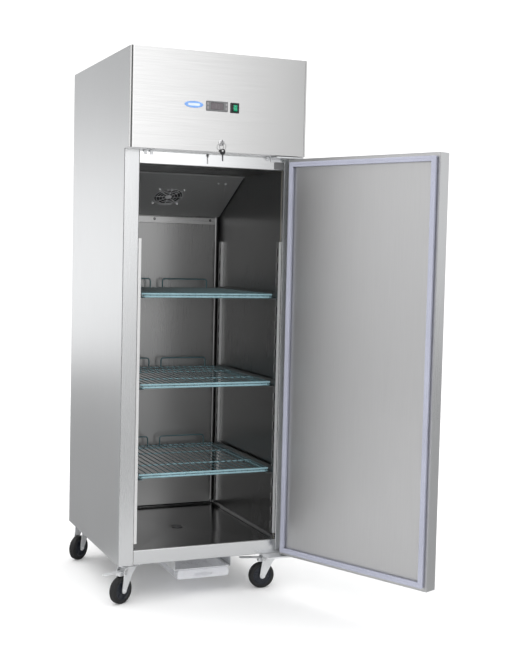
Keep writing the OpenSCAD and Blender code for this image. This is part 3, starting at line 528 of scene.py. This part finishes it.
def liner():
    """Inner skin: walls and back in one sheet with coved corners, and the ceiling."""
    x, y = 281.9, 684.4
    line = [(-x, 20.4), (-x, y), (x, y), (x, 20.4)]
    s = Shape().prism(fold(line, 1.2, 16), "z", SILL + 0.2, OPEN_Z - 0.2)
    s.prism(round_rect(-281.2, 20.4, 281.2, 683.4, 12), "z", OPEN_Z, OPEN_Z + 1.2)
    s.make("liner_walls", "liner_steel", "cabinet", "brushed_inner", ["liner"], 0.25)


def duct_panel():
    """Folded panel in front of the rear air duct, returned to the liner at both sides."""
    x, front, back = 261.4, DUCT_Y + 0.6, 682.4
    line = [(-x, back), (-x, front), (x, front), (x, back)]
    Shape().prism(fold(line, 1.2, 2.2), "z", 212.2, 1439.8).make(
        "duct_panel_folded", "duct_steel", "cabinet", "brushed_inner", ["duct_panel"], 0.25)


def floor_pan():
    """Pressed floor falling in four facets to the drain, coved up to the walls."""
    n, cx, cy = 96, 0.0, 332.0

    def rect(x0, y0, x1, y1, z):
        pts, corner = [], [(x1, y1), (x0, y1), (x0, y0), (x1, y0)]
        for i in range(n):
            k, f = divmod(i - n // 8, n // 4)
            a, b = corner[k % 4], corner[(k + 1) % 4]
            f /= n / 4
            pts.append((a[0] + (b[0] - a[0]) * f, a[1] + (b[1] - a[1]) * f, z))
        return pts

    def circle(r, z):
        return [(cx + r * math.cos(2 * math.pi * i / n), cy + r * math.sin(2 * math.pi * i / n), z)
                for i in range(n)]

    top = [rect(-281, 1.6, 281, 683.4, 203.8), rect(-270, 14, 270, 672, 203.4),
           rect(-262, 24, 262, 662, 201.9), circle(34, 195.4), circle(26, 194.0), circle(13, 193.4),
           circle(10.2, 192.4)]
    low = [[(p[0], p[1], p[2] - 1.1) for p in ring] for ring in top[::-1]]
    spigot = [circle(10.2, 141), circle(12.4, 141), circle(12.4, 191.3)]
    s = Shape().rings(top + spigot + low[1:], closed=True)
    r = 13
    cove = [(0, 0), (r, 0)] + arc(r, r, r - 0.9, 270, 180, 6) + [(0, r)]
    for q in (-1, 1):
        s.prism([(q * (281 - a), 203.9 + b) for a, b in cove], "y", 24, 683)
    s.prism([(683.2 - a, 203.9 + b) for a, b in cove], "x", -281, 281)
    s.make("floor_pan_pressed", "floor_steel", "cabinet", "brushed_inner", ["floor_pan"], 0.0,
           smooth=False)
    # strainer over the drain
    g = Shape()
    g.turn([(17, 194.2), (20, 194.2), (20.5, 195.0), (20, 195.6), (17, 195.6)], (cx, cy, 0), "z",
           40, closed=True)
    for k in range(-2, 3):
        w = math.sqrt(18.5 ** 2 - (k * 6) ** 2)
        g.box((cx - w, cy + k * 6 - 1.1, 194.3), (cx + w, cy + k * 6 + 1.1, 195.4))
    g.make("drain_strainer", "screw_steel", "cabinet", "brushed_inner", (), 0.2)


def fan_guard():
    """Wire guard of round rings on eight spokes."""
    s = Shape(FAN @ Matrix.Translation((0, 0, -2)))
    for r in (26, 38, 50, 60):
        ring = [(r * math.cos(a * math.pi / 32), r * math.sin(a * math.pi / 32), -4.0)
                for a in range(64)]
        s.tube(ring, 0.9, 8, closed=True)
    for k in range(8):
        a = math.radians(45 * k + 45)
        far = 70 if k % 2 == 0 else 60
        pts = [(12, -3.9), (24, -3.2), (far - 6, -3.0), (far, -2.0)]
        s.tube([(q * math.cos(a), q * math.sin(a), z) for q, z in pts], 0.85, 8)
    s.turn([(0.1, -3.4), (14, -3.4), (14, -4.2), (11, -5.0), (0.1, -5.2)], n=32)
    for a in (-1, 1):
        for b in (-1, 1):
            s.turn([(2.2, -0.3), (5, -0.3), (5, -2.8), (4.4, -3.5), (2.2, -3.5)],
                   (a * FAN_SCREW, b * FAN_SCREW, 0), "z", 24, closed=True)
    s.make("fan_guard_wires", "wire_chrome", "cabinet", "zinc", ["fan_guard"], 0.2, limit=50)


def cover_hems():
    """Hems along the duct panel's top and the slanted cover's edges."""
    strip = Shape()
    strip.prism(fold([(664.5, 1414), (664.5, 1439.4), (667.6, 1439.4)], 0.7, 1.0), "x", -261, 261)
    strip.prism(fold([(664.2, 1412.6), (663.7, 1413.6), (664.2, 1414.6)], 0.5, 0.3), "x", -261, 261)
    strip.place = SLANT
    strip.prism(round_rect(3, -3.2, 11, -2.05, 0.5, 3), "x", -280, 280)
    strip.mat = 1
    for q in (-1, 1):
        a, b = sorted((q * 276.5, q * 280.4))
        strip.prism(round_rect(a, -3.4, b, -2.05, 0.5, 3), "y", 12, 320)
    strip.make("cover_hems", ["strip_steel", "black_plastic"], "cabinet", "brushed_inner", (), 0.1)


def rotor():
    """Hub and seven blades of the evaporator's fan."""
    f = Shape(FAN @ Matrix.Translation((0, 0, 10)))
    f.turn([(2.1, -6), (15, -6), (19, -3.5), (19, 6), (2.1, 6)], n=40, closed=True)
    blades(f, 7, 18, 53, 27, 34, 18, 1.4)
    f.make("evaporator_rotor", "black_plastic", "evaporator_fan", "black_plastic",
           ["evaporator_fan"], 0.3)


def blades(s, count, r0, r1, chord, a0, a1, t):
    """Curved blades whose pitch falls from a0 at the root to a1 at the tip."""
    for k in range(count):
        turn = 2 * math.pi * k / count
        rings = []
        for j in range(9):
            q = j / 8
            r = r0 + (r1 - r0) * q
            tilt = math.radians(a0 + (a1 - a0) * q)
            ring = []
            for side in (1, -1):
                for i in range(9)[::side]:
                    u = (i / 8 - 0.5) * chord * (0.72 + 0.28 * q)
                    camber = 1.6 * (1 - (2 * i / 8 - 1) ** 2)
                    z = u * math.sin(tilt) + camber + side * t / 2 * (1 - 0.7 * abs(2 * i / 8 - 1))
                    a = turn + u * math.cos(tilt) / r + 0.25 * q
                    ring.append((r * math.cos(a), r * math.sin(a), max(-6, min(6, z - 0.6))))
            rings.append(ring)
        s.rings(rings)


def screws():
    """Pan-head screws with a hexagon socket on duct, cover and guard."""
    inward, down = Matrix.Rotation(math.pi / 2, 4, "X"), Matrix.Rotation(math.pi, 4, "X")
    # place, depth of the shank, width of the head, material
    spots = [(Matrix.Translation((x, DUCT_Y, 1430)) @ inward, -3.8, 1.3, 0)
             for x in (-258, -11, 238)]
    # cover and guard screws take the whitened chrome: painted highlight
    spots += [(SLANT @ Matrix.Translation((x, 63, -2)) @ down, -3.8, 1.0, 1)
              for x in (-250, 184.6, 216)]
    spots += [(FAN @ Matrix.Translation((a * FAN_SCREW, b * FAN_SCREW, -5.8)) @ down, -15.8, 1.0, 1)
              for a in (-1, 1) for b in (-1, 1)]
    s = Shape()
    n, sixth, flat = 24, math.pi / 3, 2.0 * math.cos(math.pi / 6)
    angles = [2 * math.pi * k / n for k in range(n)]
    socket = [flat / math.cos((a + sixth / 2) % sixth - sixth / 2) for a in angles]
    for place, deep, wide, mat in spots:
        s.place, s.mat = place, mat
        rings = [[(r * math.cos(a), r * math.sin(a), z) for a in angles]
                 for r, z in ((1.9, deep), (1.9, 0), (4.2 * wide, 0), (4.1 * wide, 0.9),
                              (3.4 * wide, 1.6), (2.2, 1.9))]
        rings += [[(r * math.cos(a), r * math.sin(a), z) for a, r in zip(angles, socket)]
                  for z in (1.85, 0.6)]
        s.rings(rings)
    s.place = Matrix.Identity(4)
    s.make("panel_screw_set", ["black_paint", "wire_chrome"], "cabinet", "zinc",
           ["panel_screws"], 0.0)


def shelf(name, z):
    """Coated wire shelf: two-bar front rail, wires bent over it, cross bars, two rear stops."""
    s = Shape()
    x, y0, y1 = 261.5, 33.0, 633.0
    zl, zu, zw = z - 6.7, z + 3.5, z + 7.0      # frame, cross bars, wires
    s.tube([(u, v, zl) for u, v in round_rect(-x, y0, x, y1, 14, 6)], 3.3, 12, closed=True)
    s.tube([(-246, y0, zl + 1), (0, y0, zl + 1), (246, y0, zl + 1)], 4.1, 12)
    for y, h, half in ((y0, 4.1, 258), (y1 - 1.5, 2.6, 258), (y0 + 180, 2.4, x),
                       (y0 + 420, 2.4, x)):
        s.tube([(half * k / 2, y, zu) for k in range(-2, 3)], h, 12)
    for y in (y0 + 180, y0 + 420):
        for q in (-1, 1):
            s.turn([(0.1, zl), (2.4, zl), (2.4, zu + 1.5), (0.1, zu + 2)], (q * x, y, 0), "z", 10)
    # the long wires and rear stops take the shaded copy of the coating: painted shade
    s.mat = 1
    for k in range(21):
        xk = (k - 10) * 25.0
        line = fillet([(xk, y0 - 1.2, zl - 1), (xk, y0 - 1.2, zw), (xk, y1 + 0.2, zw),
                       (xk, y1 + 0.2, zl - 1)], 3.5, 4)
        s.tube(line, 1.9, 8)
    for a, b in ((-213, -37), (16, 213)):
        y, top = y1 - 6.5, z + 43.8
        s.tube(fillet([(a, y, zu - 2), (a, y, top), (b, y, top), (b, y, zu - 2)], 12, 6), 2.8, 10)
    s.make(name + "_wires", ["coated_wire", "wire_coating_shaded"], name, "coated_wire", [name], 0.0)


# ---------------------------------------------------------------- casters and tray


# swivel axis and swivel angle of each caster, as photographed
CASTERS = {"fl": (-285, 58, 31), "fr": (291, 58, -4), "rl": (-285, 700, 38), "rr": (285, 700, 12)}
TRAIL, AXLE_Z = -38, 50     # the axle's place in the fork
PEDAL_X, PEDAL_Z = -33, 116


def casters():
    """Pressed forks with their raceway, stem, axle bolt and, in front, the pedal's pin."""
    for c, (x, y, turn) in CASTERS.items():
        place = Matrix.Translation((x, y, 0)) @ Matrix.Rotation(math.radians(turn), 4, "Z")
        f = Shape(place)
        f.turn([(0.1, 133.5), (20, 133.5), (27, 131.4), (28, 132.5), (28, 135.2), (24, 136.6),
                (6, 136.7), (6, 146.6), (4.6, 147), (0.1, 147)], n=48)
        top = round_rect(-30, -20.5, 24, 20.5, 5, 4)
        f.prism(top, "z", 131, 134)
        leg = fillet([(-36, 133), (-47, 68), (-49, 53), (-47, 42), (-38, 38.8), (-29.5, 42),
                      (-26.5, 50), (2, 104), (28, 133)], 5, 4)
        for s in (-1, 1):
            cheek = sorted((s * 17.5, s * 20.5))
            f.prism([(p.x, p.y) for p in leg], "y", *cheek)
            f.turn([(5.0, s * 20.4), (10.5, s * 20.4), (9.5, s * 21.6), (5.0, s * 21.6)],
                   (TRAIL, 0, AXLE_Z), "y", 32, closed=True)
            f.hexhead((TRAIL, s * 21.5, AXLE_Z), "y", 6.5, s * 4.2)
            if c[0] == "f":
                ear = [(-18, 131), (-40, 123), (-42.5, 116), (-39, 109), (-28, 108)]
                f.prism([(p.x, p.y) for p in fillet(ear, 4, 3)], "y", *cheek)
        f.turn([(0.1, -22), (3.9, -22), (3.9, 22), (0.1, 22)], (TRAIL, 0, AXLE_Z), "y", 24)
        if c[0] == "f":
            f.turn([(0.1, -21.6), (2.4, -21.6), (2.4, 21.6), (0.1, 21.6)],
                   (PEDAL_X, 0, PEDAL_Z), "y", 16)
        f.make("fork_" + c + "_pressed", "zinc", "fork_" + c, "zinc", ["fork_" + c], 0.6)
        wheel(c, place)
        if c[0] == "f":
            pedal(c, place)


def wheel(c, place):
    """Crowned tyre on a dished hub with six ribs on each side."""
    w = Shape(place @ Matrix.Translation((TRAIL, 0, AXLE_Z)))
    half = [(50, -2), (49.8, -6.5), (48.8, -10.4), (46.5, -12.6), (43, -13.4), (35.5, -12.8)]
    tyre = half[::-1] + [(r, -h) for r, h in half]
    w.turn(tyre, axis="y", n=72, closed=True)
    w.mat = 1
    for s in (-1, 1):
        w.turn([(34, s * 6), (36, s * 12.6), (34, s * 13.0), (32.4, s * 10.5), (30, s * 9.0),
                (29.4, s * 6)], axis="y", n=72, closed=True)
        w.turn([(4.1, s * 0.2), (4.1, s * 15.4), (9.5, s * 15.4), (12, s * 14.4), (13.5, s * 9),
                (31, s * 8.2), (33, s * 6), (33, s * 0.2)], axis="y", n=72, closed=True)
        level = w.place
        near, far = sorted((s * 8, s * 11.2))
        for k in range(6):
            w.place = level @ Matrix.Rotation(math.radians(60 * k + 15), 4, "Y")
            w.box((13, near, -1.4), (31, far, 1.4))
        w.place = level
    w.mat = 0
    w.turn([(33.2, -5.9), (35.4, -5.9), (35.4, 5.9), (33.2, 5.9)], axis="y", n=72, closed=True)
    w.make("wheel_" + c + "_tyre", ["tyre_rubber", "hub_plastic"], "wheel_" + c, "tyre_rubber",
           ["wheel_" + c], 0.3)


def pedal(c, place):
    """Brake pedal: its tube on the fork's pin, the cam, and a ribbed foot plate."""
    p = Shape(place @ Matrix.Translation((PEDAL_X, 0, PEDAL_Z)))
    p.turn([(2.6, -13), (5, -13), (5, 13), (2.6, 13)], axis="y", n=28, closed=True)
    p.prism(round_rect(-20, -13, -2.6, 1.5, 2.5, 3), "y", -9, 9)
    p.place = p.place @ Matrix.Rotation(math.radians(3), 4, "Y")
    plate = round_rect(-95, -12, -1, 12, 7, 6)
    p.rings([[(u, v, 1.2) for u, v in plate], [(u, v, 4.0) for u, v in plate]])
    for k in range(7):
        p.box((-90 + 7 * k, -9.5, 3.8), (-87 + 7 * k, 9.5, 5.0))
    p.make("pedal_" + c + "_pressed", "zinc", "pedal_" + c, "zinc", ["pedal_" + c], 0.5)


def drip_tray():
    """Moulded tray with drafted walls, a rolled rim and a pull lip."""
    cx, y0, y1, z0, z1 = 2, 30, 370, 66, 108
    s = Shape()

    def ring(inset, z, r):
        return [(u + cx, v, z) for u, v in
                round_rect(-109 + inset, y0 + inset, 109 - inset, y1 - inset, r, 6)]

    s.rings([ring(16, z0 + 0.6, 14), ring(14.5, z0, 14), ring(12.5, z0 + 1.8, 14),
             ring(9.4, z1 - 4, 12), ring(1.2, z1 - 3.4, 12), ring(0.2, z1 - 2.6, 12),
             ring(0.2, z1 - 0.8, 12), ring(1.0, z1, 12), ring(9.6, z1, 12),
             ring(11.8, z1 - 1.6, 12),
             ring(15, z0 + 5, 11), ring(19, z0 + 2.6, 10), ring(40, z0 + 2.4, 8)])
    front = round_rect(-102, z0 + 4.2, 102, z1 - 4.6, 9, 6)
    s.rings([[(u + cx, y0 + 0.3, v) for u, v in front], [(u + cx, y0 + 2.2, v) for u, v in front]])
    for q in (-1, 1):
        for k in range(3):
            x, y = cx + q * 99.2, 90 + 90 * k
            s.box((x - 0.9, y, z0 + 8), (x + 0.9, y + 6, z1 - 3))
    grip = round_rect(-34, z0 + 12, 34, z0 + 24, 5, 5)
    s.rings([[(u + cx, y0 + 0.4, v) for u, v in grip],
             [(u * 0.93 + cx, y0 + 0.05, v) for u, v in grip]])
    s.make("drip_tray_moulded", "tray_plastic", "drip_tray", "tray_plastic", ["drip_tray"], 0.0)


# ---------------------------------------------------------------- door


HINGE = Vector((318, -42, 0))
DOOR_OPEN = 114.1


def gasket():
    """Magnetic gasket: foot, bellows and magnet pocket, mitred at the corners."""
    place = (Matrix.Translation(HINGE) @ Matrix.Rotation(math.radians(DOOR_OPEN), 4, "Z")
             @ Matrix.Translation(-HINGE))
    s = Shape(place)
    prof = [(1.5, -14.9), (16.5, -14.9), (17.0, -13.6), (14.2, -12.4), (14.6, -10.6), (17.2, -9.4),
            (17.4, -8.2), (15.6, -7.2), (17.9, -6.2), (18, -3.4), (17.2, -2.6), (10.6, -2.45),
            (9.6, -3.3), (8.6, -2.45), (1.2, -2.6), (0.1, -3.4), (0.2, -6.0), (2.6, -7.2),
            (0.8, -8.4), (1.0, -9.6), (3.4, -10.8), (3.2, -12.4), (0.8, -13.6)]
    rings = []
    for u, w in prof:
        x0, x1, z0, z1 = -326 + u, 326 - u, 164.8 + u, 1635.8 - u
        rings.append([(x0, w, z0), (x1, w, z0), (x1, w, z1), (x0, w, z1)])
    s.rings(rings, closed=True)
    s.make("door_gasket_bellows", "gasket_vinyl", "door", "gasket_vinyl", ["door_gasket"], 0.5,
           limit=20)


# ---------------------------------------------------------------- fascia fittings


FASCIA_Y = -65


def on_front(outline, y):
    return [(u, y, v) for u, v in outline]


def controller():
    """Bezel with a recessed display and two columns of keys."""
    y = FASCIA_Y
    s = Shape()
    s.rings([on_front(round_rect(-59, 1801, 24, 1837, 3, 5), y - 0.2),
             on_front(round_rect(-59, 1801, 24, 1837, 3, 5), y - 2.4),
             on_front(round_rect(-57.8, 1802.2, 22.8, 1835.8, 3, 5), y - 3.4),
             on_front(round_rect(-42, 1806, 7, 1832, 1.5, 5), y - 3.4),
             on_front(round_rect(-41.2, 1806.8, 6.2, 1831.2, 1.2, 5), y - 1.6)])
    s.box((-52.3, y + 0.3, 1805.2), (17.3, y + 44.8, 1832.8))
    s.make("controller_bezel", "bezel_plastic", "fascia", "bezel_plastic", ["controller"], 0.2)
    g = Shape()
    g.rings([on_front(round_rect(-41, 1807, 6, 1831, 1.2, 4), y - 1.5),
             on_front(round_rect(-41, 1807, 6, 1831, 1.2, 4), y - 2.3),
             on_front(round_rect(-40.4, 1807.6, 5.4, 1830.4, 1.0, 4), y - 2.6)])
    g.make("controller_display", "display", "fascia", "bezel_plastic", (), 0.0)
    digits()
    for name, x, z in (("button_set", -52.5, 1826), ("button_up", 17.5, 1826),
                       ("button_down", 17.5, 1812), ("button_defrost", -52.5, 1812)):
        b = Shape()
        b.rings([on_front(round_rect(x - 3.7, z - 4.7, x + 3.7, z + 4.7, 2, 4), y - 2.5),
                 on_front(round_rect(x - 3.7, z - 4.7, x + 3.7, z + 4.7, 2, 4), y - 3.8),
                 on_front(round_rect(x - 3.1, z - 4.1, x + 3.1, z + 4.1, 1.8, 4), y - 4.3),
                 on_front(round_rect(x - 1.6, z - 2.4, x + 1.6, z + 2.4, 1.2, 4), y - 4.1)])
        b.make(name + "_key", "button_plastic", name, "button_plastic", [name], 0.0)


def digits():
    """Two unlit seven-segment digits behind the display's face."""
    y, z0, w, h, thin, gap = FASCIA_Y, 1812, 7, 14, 0.5, 0.9
    lines = {"a": ((0, h), (w, h)), "b": ((w, h / 2), (w, h)), "c": ((w, 0), (w, h / 2)),
             "d": ((0, 0), (w, 0)), "f": ((0, h / 2), (0, h)), "g": ((0, h / 2), (w, h / 2))}
    d = Shape()
    for segments, x in (("abgcd", -27), ("afgcd", -15)):
        for k in segments:
            (u0, v0), (u1, v1) = lines[k]
            du, dv = (gap, 0) if u1 > u0 else (0, gap)
            d.box((x + u0 - thin + du, y - 2.75, z0 + v0 - thin + dv),
                  (x + u1 + thin - du, y - 2.55, z0 + v1 + thin - dv))
    d.make("display_digits", "bezel_plastic", "fascia", "bezel_plastic", (), 0.1)


def rocker_switch():
    """Rocker with its frame; the paddle's right part is green."""
    y, cx, cz = FASCIA_Y, 51, 1817.5
    hole = round_rect(cx - 10.1, cz - 12.7, cx + 10.1, cz + 12.7, 0.8, 5)
    body = round_rect(cx - 12.4, cz - 13.9, cx + 12.4, cz + 13.9, 0.8, 5)
    s = Shape()
    s.rings([on_front(round_rect(34, 1799, 68, 1836, 2.5, 5), y - 0.2),
             on_front(round_rect(34, 1799, 68, 1836, 2.5, 5), y - 1.8),
             on_front(round_rect(35.2, 1800.2, 66.8, 1834.8, 2.2, 5), y - 2.6),
             on_front(round_rect(cx - 10.8, cz - 13.4, cx + 10.8, cz + 13.4, 1.0, 5), y - 2.4),
             on_front(hole, y - 1.4), on_front(hole, y + 11.8), on_front(body, y + 11.8),
             on_front(body, y - 0.2)], closed=True)
    s.box((cx - 12.4, y + 12, cz - 13.9), (cx + 12.4, y + 29.8, cz + 13.9))
    s.make("rocker_bezel_frame", "black_plastic", "fascia", "black_plastic", ["rocker_bezel"], 0.15)
    tilt = Matrix.Translation((cx, y + 3, cz)) @ Matrix.Rotation(math.radians(-8), 4, "X")
    r = Shape(tilt)
    upper = [(2, 11.6), (-2.2, 11.6), (-6.2, 10.2), (-6.0, 6), (-4.7, 2)]
    prof = upper + [(-4.4, 0)] + [(u, -v) for u, v in upper[::-1]]
    r.prism(prof, "x", -4.8, 9.6)
    r.mat = 1
    r.prism(prof, "x", -9.6, -4.6)
    r.turn([(0.1, -11.4), (1.4, -11.4), (1.4, 11.4), (0.1, 11.4)], axis="x", n=16)
    r.mat = 2
    r.box((1.5, -5.9, 4.4), (3.3, -5.35, 8.6))
    r.make("rocker_paddle", ["green_plastic", "black_plastic", "badge_rim"], "rocker",
           "green_plastic", ["rocker"], 0.5, limit=30)


def badge():
    """Blank domed oval with a pale rim and a pale bar."""
    s = Shape()
    cx, cz, half_w, half_h = -105.5, 1820, 36.5, 12.2

    def ring(k, y):
        return [(cx + half_w * k * math.cos(a * math.pi / 32), y,
                 cz + half_h * k * math.sin(a * math.pi / 32)) for a in range(64)]

    s.mat = 1
    s.rings([ring(1.0, -65.1), ring(1.0, -66.0), ring(0.99, -66.4), ring(0.97, -66.4),
             ring(0.96, -66.2), ring(0.96, -65.1)], closed=True)
    bar = round_rect(-128, 1815.5, -83, 1824.5, 4.4, 6)
    s.rings([on_front(bar, -66.2), on_front(bar, -66.58)])
    s.mat = 0
    s.rings([ring(0.955, -65.1), ring(0.955, -66.1), ring(0.8, -66.3), ring(0.5, -66.42),
             ring(0.15, -66.46)])
    s.make("badge_blank", ["badge_blue", "badge_rim"], "fascia", "badge_blue", ["badge"], 0.0)


LOCK_X, LOCK_Z = 3, 1690
KEYS_Y, RING_Z, SPARE_Z = -78, 1676, 1663.5


def lock_and_keys():
    """Cam lock with its key, the split ring, and the spare key hanging from the ring."""
    y, cx, cz = FASCIA_Y, LOCK_X, LOCK_Z
    s = Shape()
    s.turn([(6.15, y - 2.6), (9.2, y - 2.6), (10.4, y - 2.2), (11, y - 1.2), (11, y - 0.15),
            (7.9, y - 0.1), (7.9, y + 23.8), (6.15, y + 23.8)], (cx, 0, cz), "y", 48, closed=True)
    s.make("lock_barrel", "chrome", "fascia", "zinc", ["lock_body"], 0.2)
    p = Shape()
    p.turn([(0.1, y - 2.0), (1.3, y - 2.6), (5.0, y - 2.9), (5.9, y - 2.3), (5.9, y + 27.8),
            (0.1, y + 27.8)], (cx, 0, cz), "y", 40)
    p.prism(round_rect(cx - 5, cz - 6, cx + 5, cz + 22, 3, 4), "y", y + 25, y + 27.5)
    key_plate(p, Matrix.Translation((cx, KEYS_Y, cz)), 10.4, 1.1, (0, 0.1), 3.7)
    p.box((cx - 1.0, y - 7.4, cz - 3.4), (cx + 1.0, y - 1, cz + 3.4))
    p.make("lock_plug_key", "chrome", "lock_plug", "key_steel", ["lock_plug"], 0.25)
    ring = Shape(Matrix.Translation((cx, KEYS_Y, RING_Z)))
    turns = [(12.5 * math.cos(t), 0.46 * (t / (2 * math.pi) - 1), 12.5 * math.sin(t))
             for t in (4 * math.pi * i / 96 for i in range(97))]
    ring.tube(turns, 0.75, 8)
    ring.make("split_ring", "screw_steel", "key_ring", "key_steel", ["key_ring"], 0.0)
    hang = Matrix.Translation((cx, KEYS_Y, SPARE_Z)) @ Matrix.Rotation(math.radians(45), 4, "Z")
    k = Shape()
    key_plate(k, hang @ Matrix.Translation((0, 0, -6.5)), 10.9, 1.0, (0, 4.3), 4.0)
    k.place = hang
    k.mat = 1
    bits = [(-2.9, -15.5), (-2.9, -40), (-1.6, -40.4), (0.4, -39.4), (1.4, -37.8), (2.4, -36.4),
            (1.5, -34.4), (2.8, -32.6), (1.2, -30.6), (2.8, -28.4), (1.8, -26.2), (2.9, -24),
            (2.9, -15.5)]
    k.prism(bits, "x", -0.9, 0.9)
    k.make("spare_key_cut", ["black_plastic", "screw_steel"], "spare_key", "black_plastic",
           ["spare_key"], 0.25)


def key_plate(s, place, r, half, hole, hr):
    """A round key bow in the YZ plane of place, with its ring hole."""
    s.place = place
    n = 48
    circle = [(math.cos(2 * math.pi * i / n), math.sin(2 * math.pi * i / n)) for i in range(n)]
    rim = [(r * u, r * v) for u, v in circle]
    inner = [(u * 0.96, v * 0.96) for u, v in rim]
    eye = [(hole[0] + hr * u, hole[1] + hr * v) for u, v in circle]
    mid = [((a[0] * 3 + b[0]) / 4, (a[1] * 3 + b[1]) / 4) for a, b in zip(rim, eye)]

    def at(line, x):
        return [(x, u, v) for u, v in line]

    s.rings([at(rim, -half * 0.6), at(rim, half * 0.6), at(inner, half), at(mid, half * 0.86),
             at(eye, half * 0.86), at(eye, -half * 0.86), at(mid, -half * 0.86),
             at(inner, -half)], closed=True)
    s.place = Matrix.Identity(4)


front_frame()
stop_tabs()
slot_shade_strips()
hinge_anchor_cover()
lower_lips()
liner()
duct_panel()
floor_pan()
fan_guard()
cover_hems()
rotor()
screws()
for level, height in SHELF_Z.items():
    shelf(level, height)
casters()
drip_tray()
gasket()
controller()
rocker_switch()
badge()
lock_and_keys()

# ---------------------------------------------------------------- studio

FLOOR_WHITE, FLOOR_GREY, FLOOR_NEAR = 0.93, 0.27, 0.62
FLOOR_GLOW = 0.09           # evens the floor's white, for the camera only
ROOM_LEVEL, BACKDROP = 0.53, 1.2
# what the metal reflects: direction, cosines where the glow starts and is full, gain, and the
# heights between which it fades
GLOWS = (((0.035, -0.992, 0.12), 0.917, 0.968, 0.93, (-0.13, 0.0)),
         ((0.66, -0.75, 0.10), 0.940, 1.0, -0.26, None),
         ((-0.80, -0.60, 0.08), 0.80, 0.97, -0.42, None),
         ((-0.265, 0.964, -0.02), 0.968, 0.9985, 0.98, (0.15, 0.04)),
         ((-0.95, 0.28, -0.03), 0.80, 0.99, 0.60, None),
         ((0.95, -0.30, 0.05), 0.80, 0.99, 0.27, None),
         ((0, 0, 1), 0.5, 0.94, 1.5, None))
# place and aim in metres, size in metres, power in watts
LAMPS = {"key": ((-2.6, -3.4, 3.6), (0, 0, 1.0), 2.4, 70),
         "fill": ((3.4, -1.6, 3.4), (0, 0, 0.6), 2.4, 14)}


def floor_paint():
    """Matt white floor; what the brushed metal reflects of it is a mid grey, as in the studio."""
    m = surface("studio_floor", [FLOOR_WHITE] * 3, [FLOOR_WHITE - 0.01] * 3, rough=0.9,
                grain=(8, 8, 8), bump=0.0, cloud=1, cloud_amp=0.004)
    t = Tree(m.node_tree)
    out = m.node_tree.nodes["Principled BSDF"].inputs
    white = out["Base Color"].links[0].from_socket
    path = t.add("LightPath").outputs
    spot = t.add("SeparateXYZ", {0: t.add("TexCoord").outputs["Object"]}).outputs
    near = t.math("MULTIPLY", t.ramp(spot["Y"], 0.3, 0.9, 1, 0, True),
                  t.ramp(spot["Y"], -2.0, -0.8, 0, 1, True))
    near = t.math("MULTIPLY", near, t.ramp(spot["X"], 0.55, 1.1, 1, 0, True))
    t.put(out["Base Color"], t.mix(path["Is Glossy Ray"], white,
                                   t.mix(near, [FLOOR_GREY] * 3, [FLOOR_NEAR] * 3)))
    out["Emission Color"].default_value = (1, 1, 1, 1)
    t.put(out["Emission Strength"], t.math("MULTIPLY", path["Is Camera Ray"], FLOOR_GLOW))
    return m


def studio():
    """White sweep floor, a soft bright room for the metal to reflect, and two soft lights."""
    me = bpy.data.meshes.new("studio_floor")
    me.from_pydata([(-14, -8, 0), (14, -8, 0), (14, 8.6, 0), (-14, 8.6, 0)], [], [(0, 1, 2, 3)])
    floor = bpy.data.objects.new("studio_floor", me)
    scene.collection.objects.link(floor)
    me.materials.append(floor_paint())

    world = bpy.data.worlds.new("studio")
    scene.world = world
    world.use_nodes = True
    t = Tree(world.node_tree)
    at = t.add("TexCoord").outputs["Generated"]
    height = t.add("SeparateXYZ", {0: at}).outputs["Z"]
    level = ROOM_LEVEL
    for direction, lo, hi, gain, fade in GLOWS:
        d = Vector(direction).normalized()
        dot = t.add("VectorMath", {0: at, 1: tuple(d)}, operation="DOT_PRODUCT").outputs["Value"]
        glow = t.ramp(dot, lo, hi, 0, gain, True)
        if fade:
            glow = t.math("MULTIPLY", glow, t.ramp(height, *fade, 0, 1, True))
        level = t.math("ADD", level, glow)
    path = t.add("LightPath").outputs["Is Camera Ray"]
    level = t.math("ADD", t.math("MULTIPLY", level, t.math("SUBTRACT", 1.0, path)),
                   t.math("MULTIPLY", path, BACKDROP))
    back = world.node_tree.nodes["Background"]
    t.put(back.inputs["Strength"], level)
    back.inputs["Color"].default_value = (1, 1, 1, 1)

    for name, (spot, aim, size, power) in LAMPS.items():
        data = bpy.data.lights.new(name, "AREA")
        data.size, data.energy = size, power
        ob = bpy.data.objects.new(name, data)
        scene.collection.objects.link(ob)
        ob.location = spot
        ob.visible_glossy = False
        ob.rotation_mode = "QUATERNION"
        ob.rotation_quaternion = (Vector(aim) - Vector(spot)).to_track_quat("-Z", "Y")
    scene.view_settings.view_transform = "Standard"


studio()
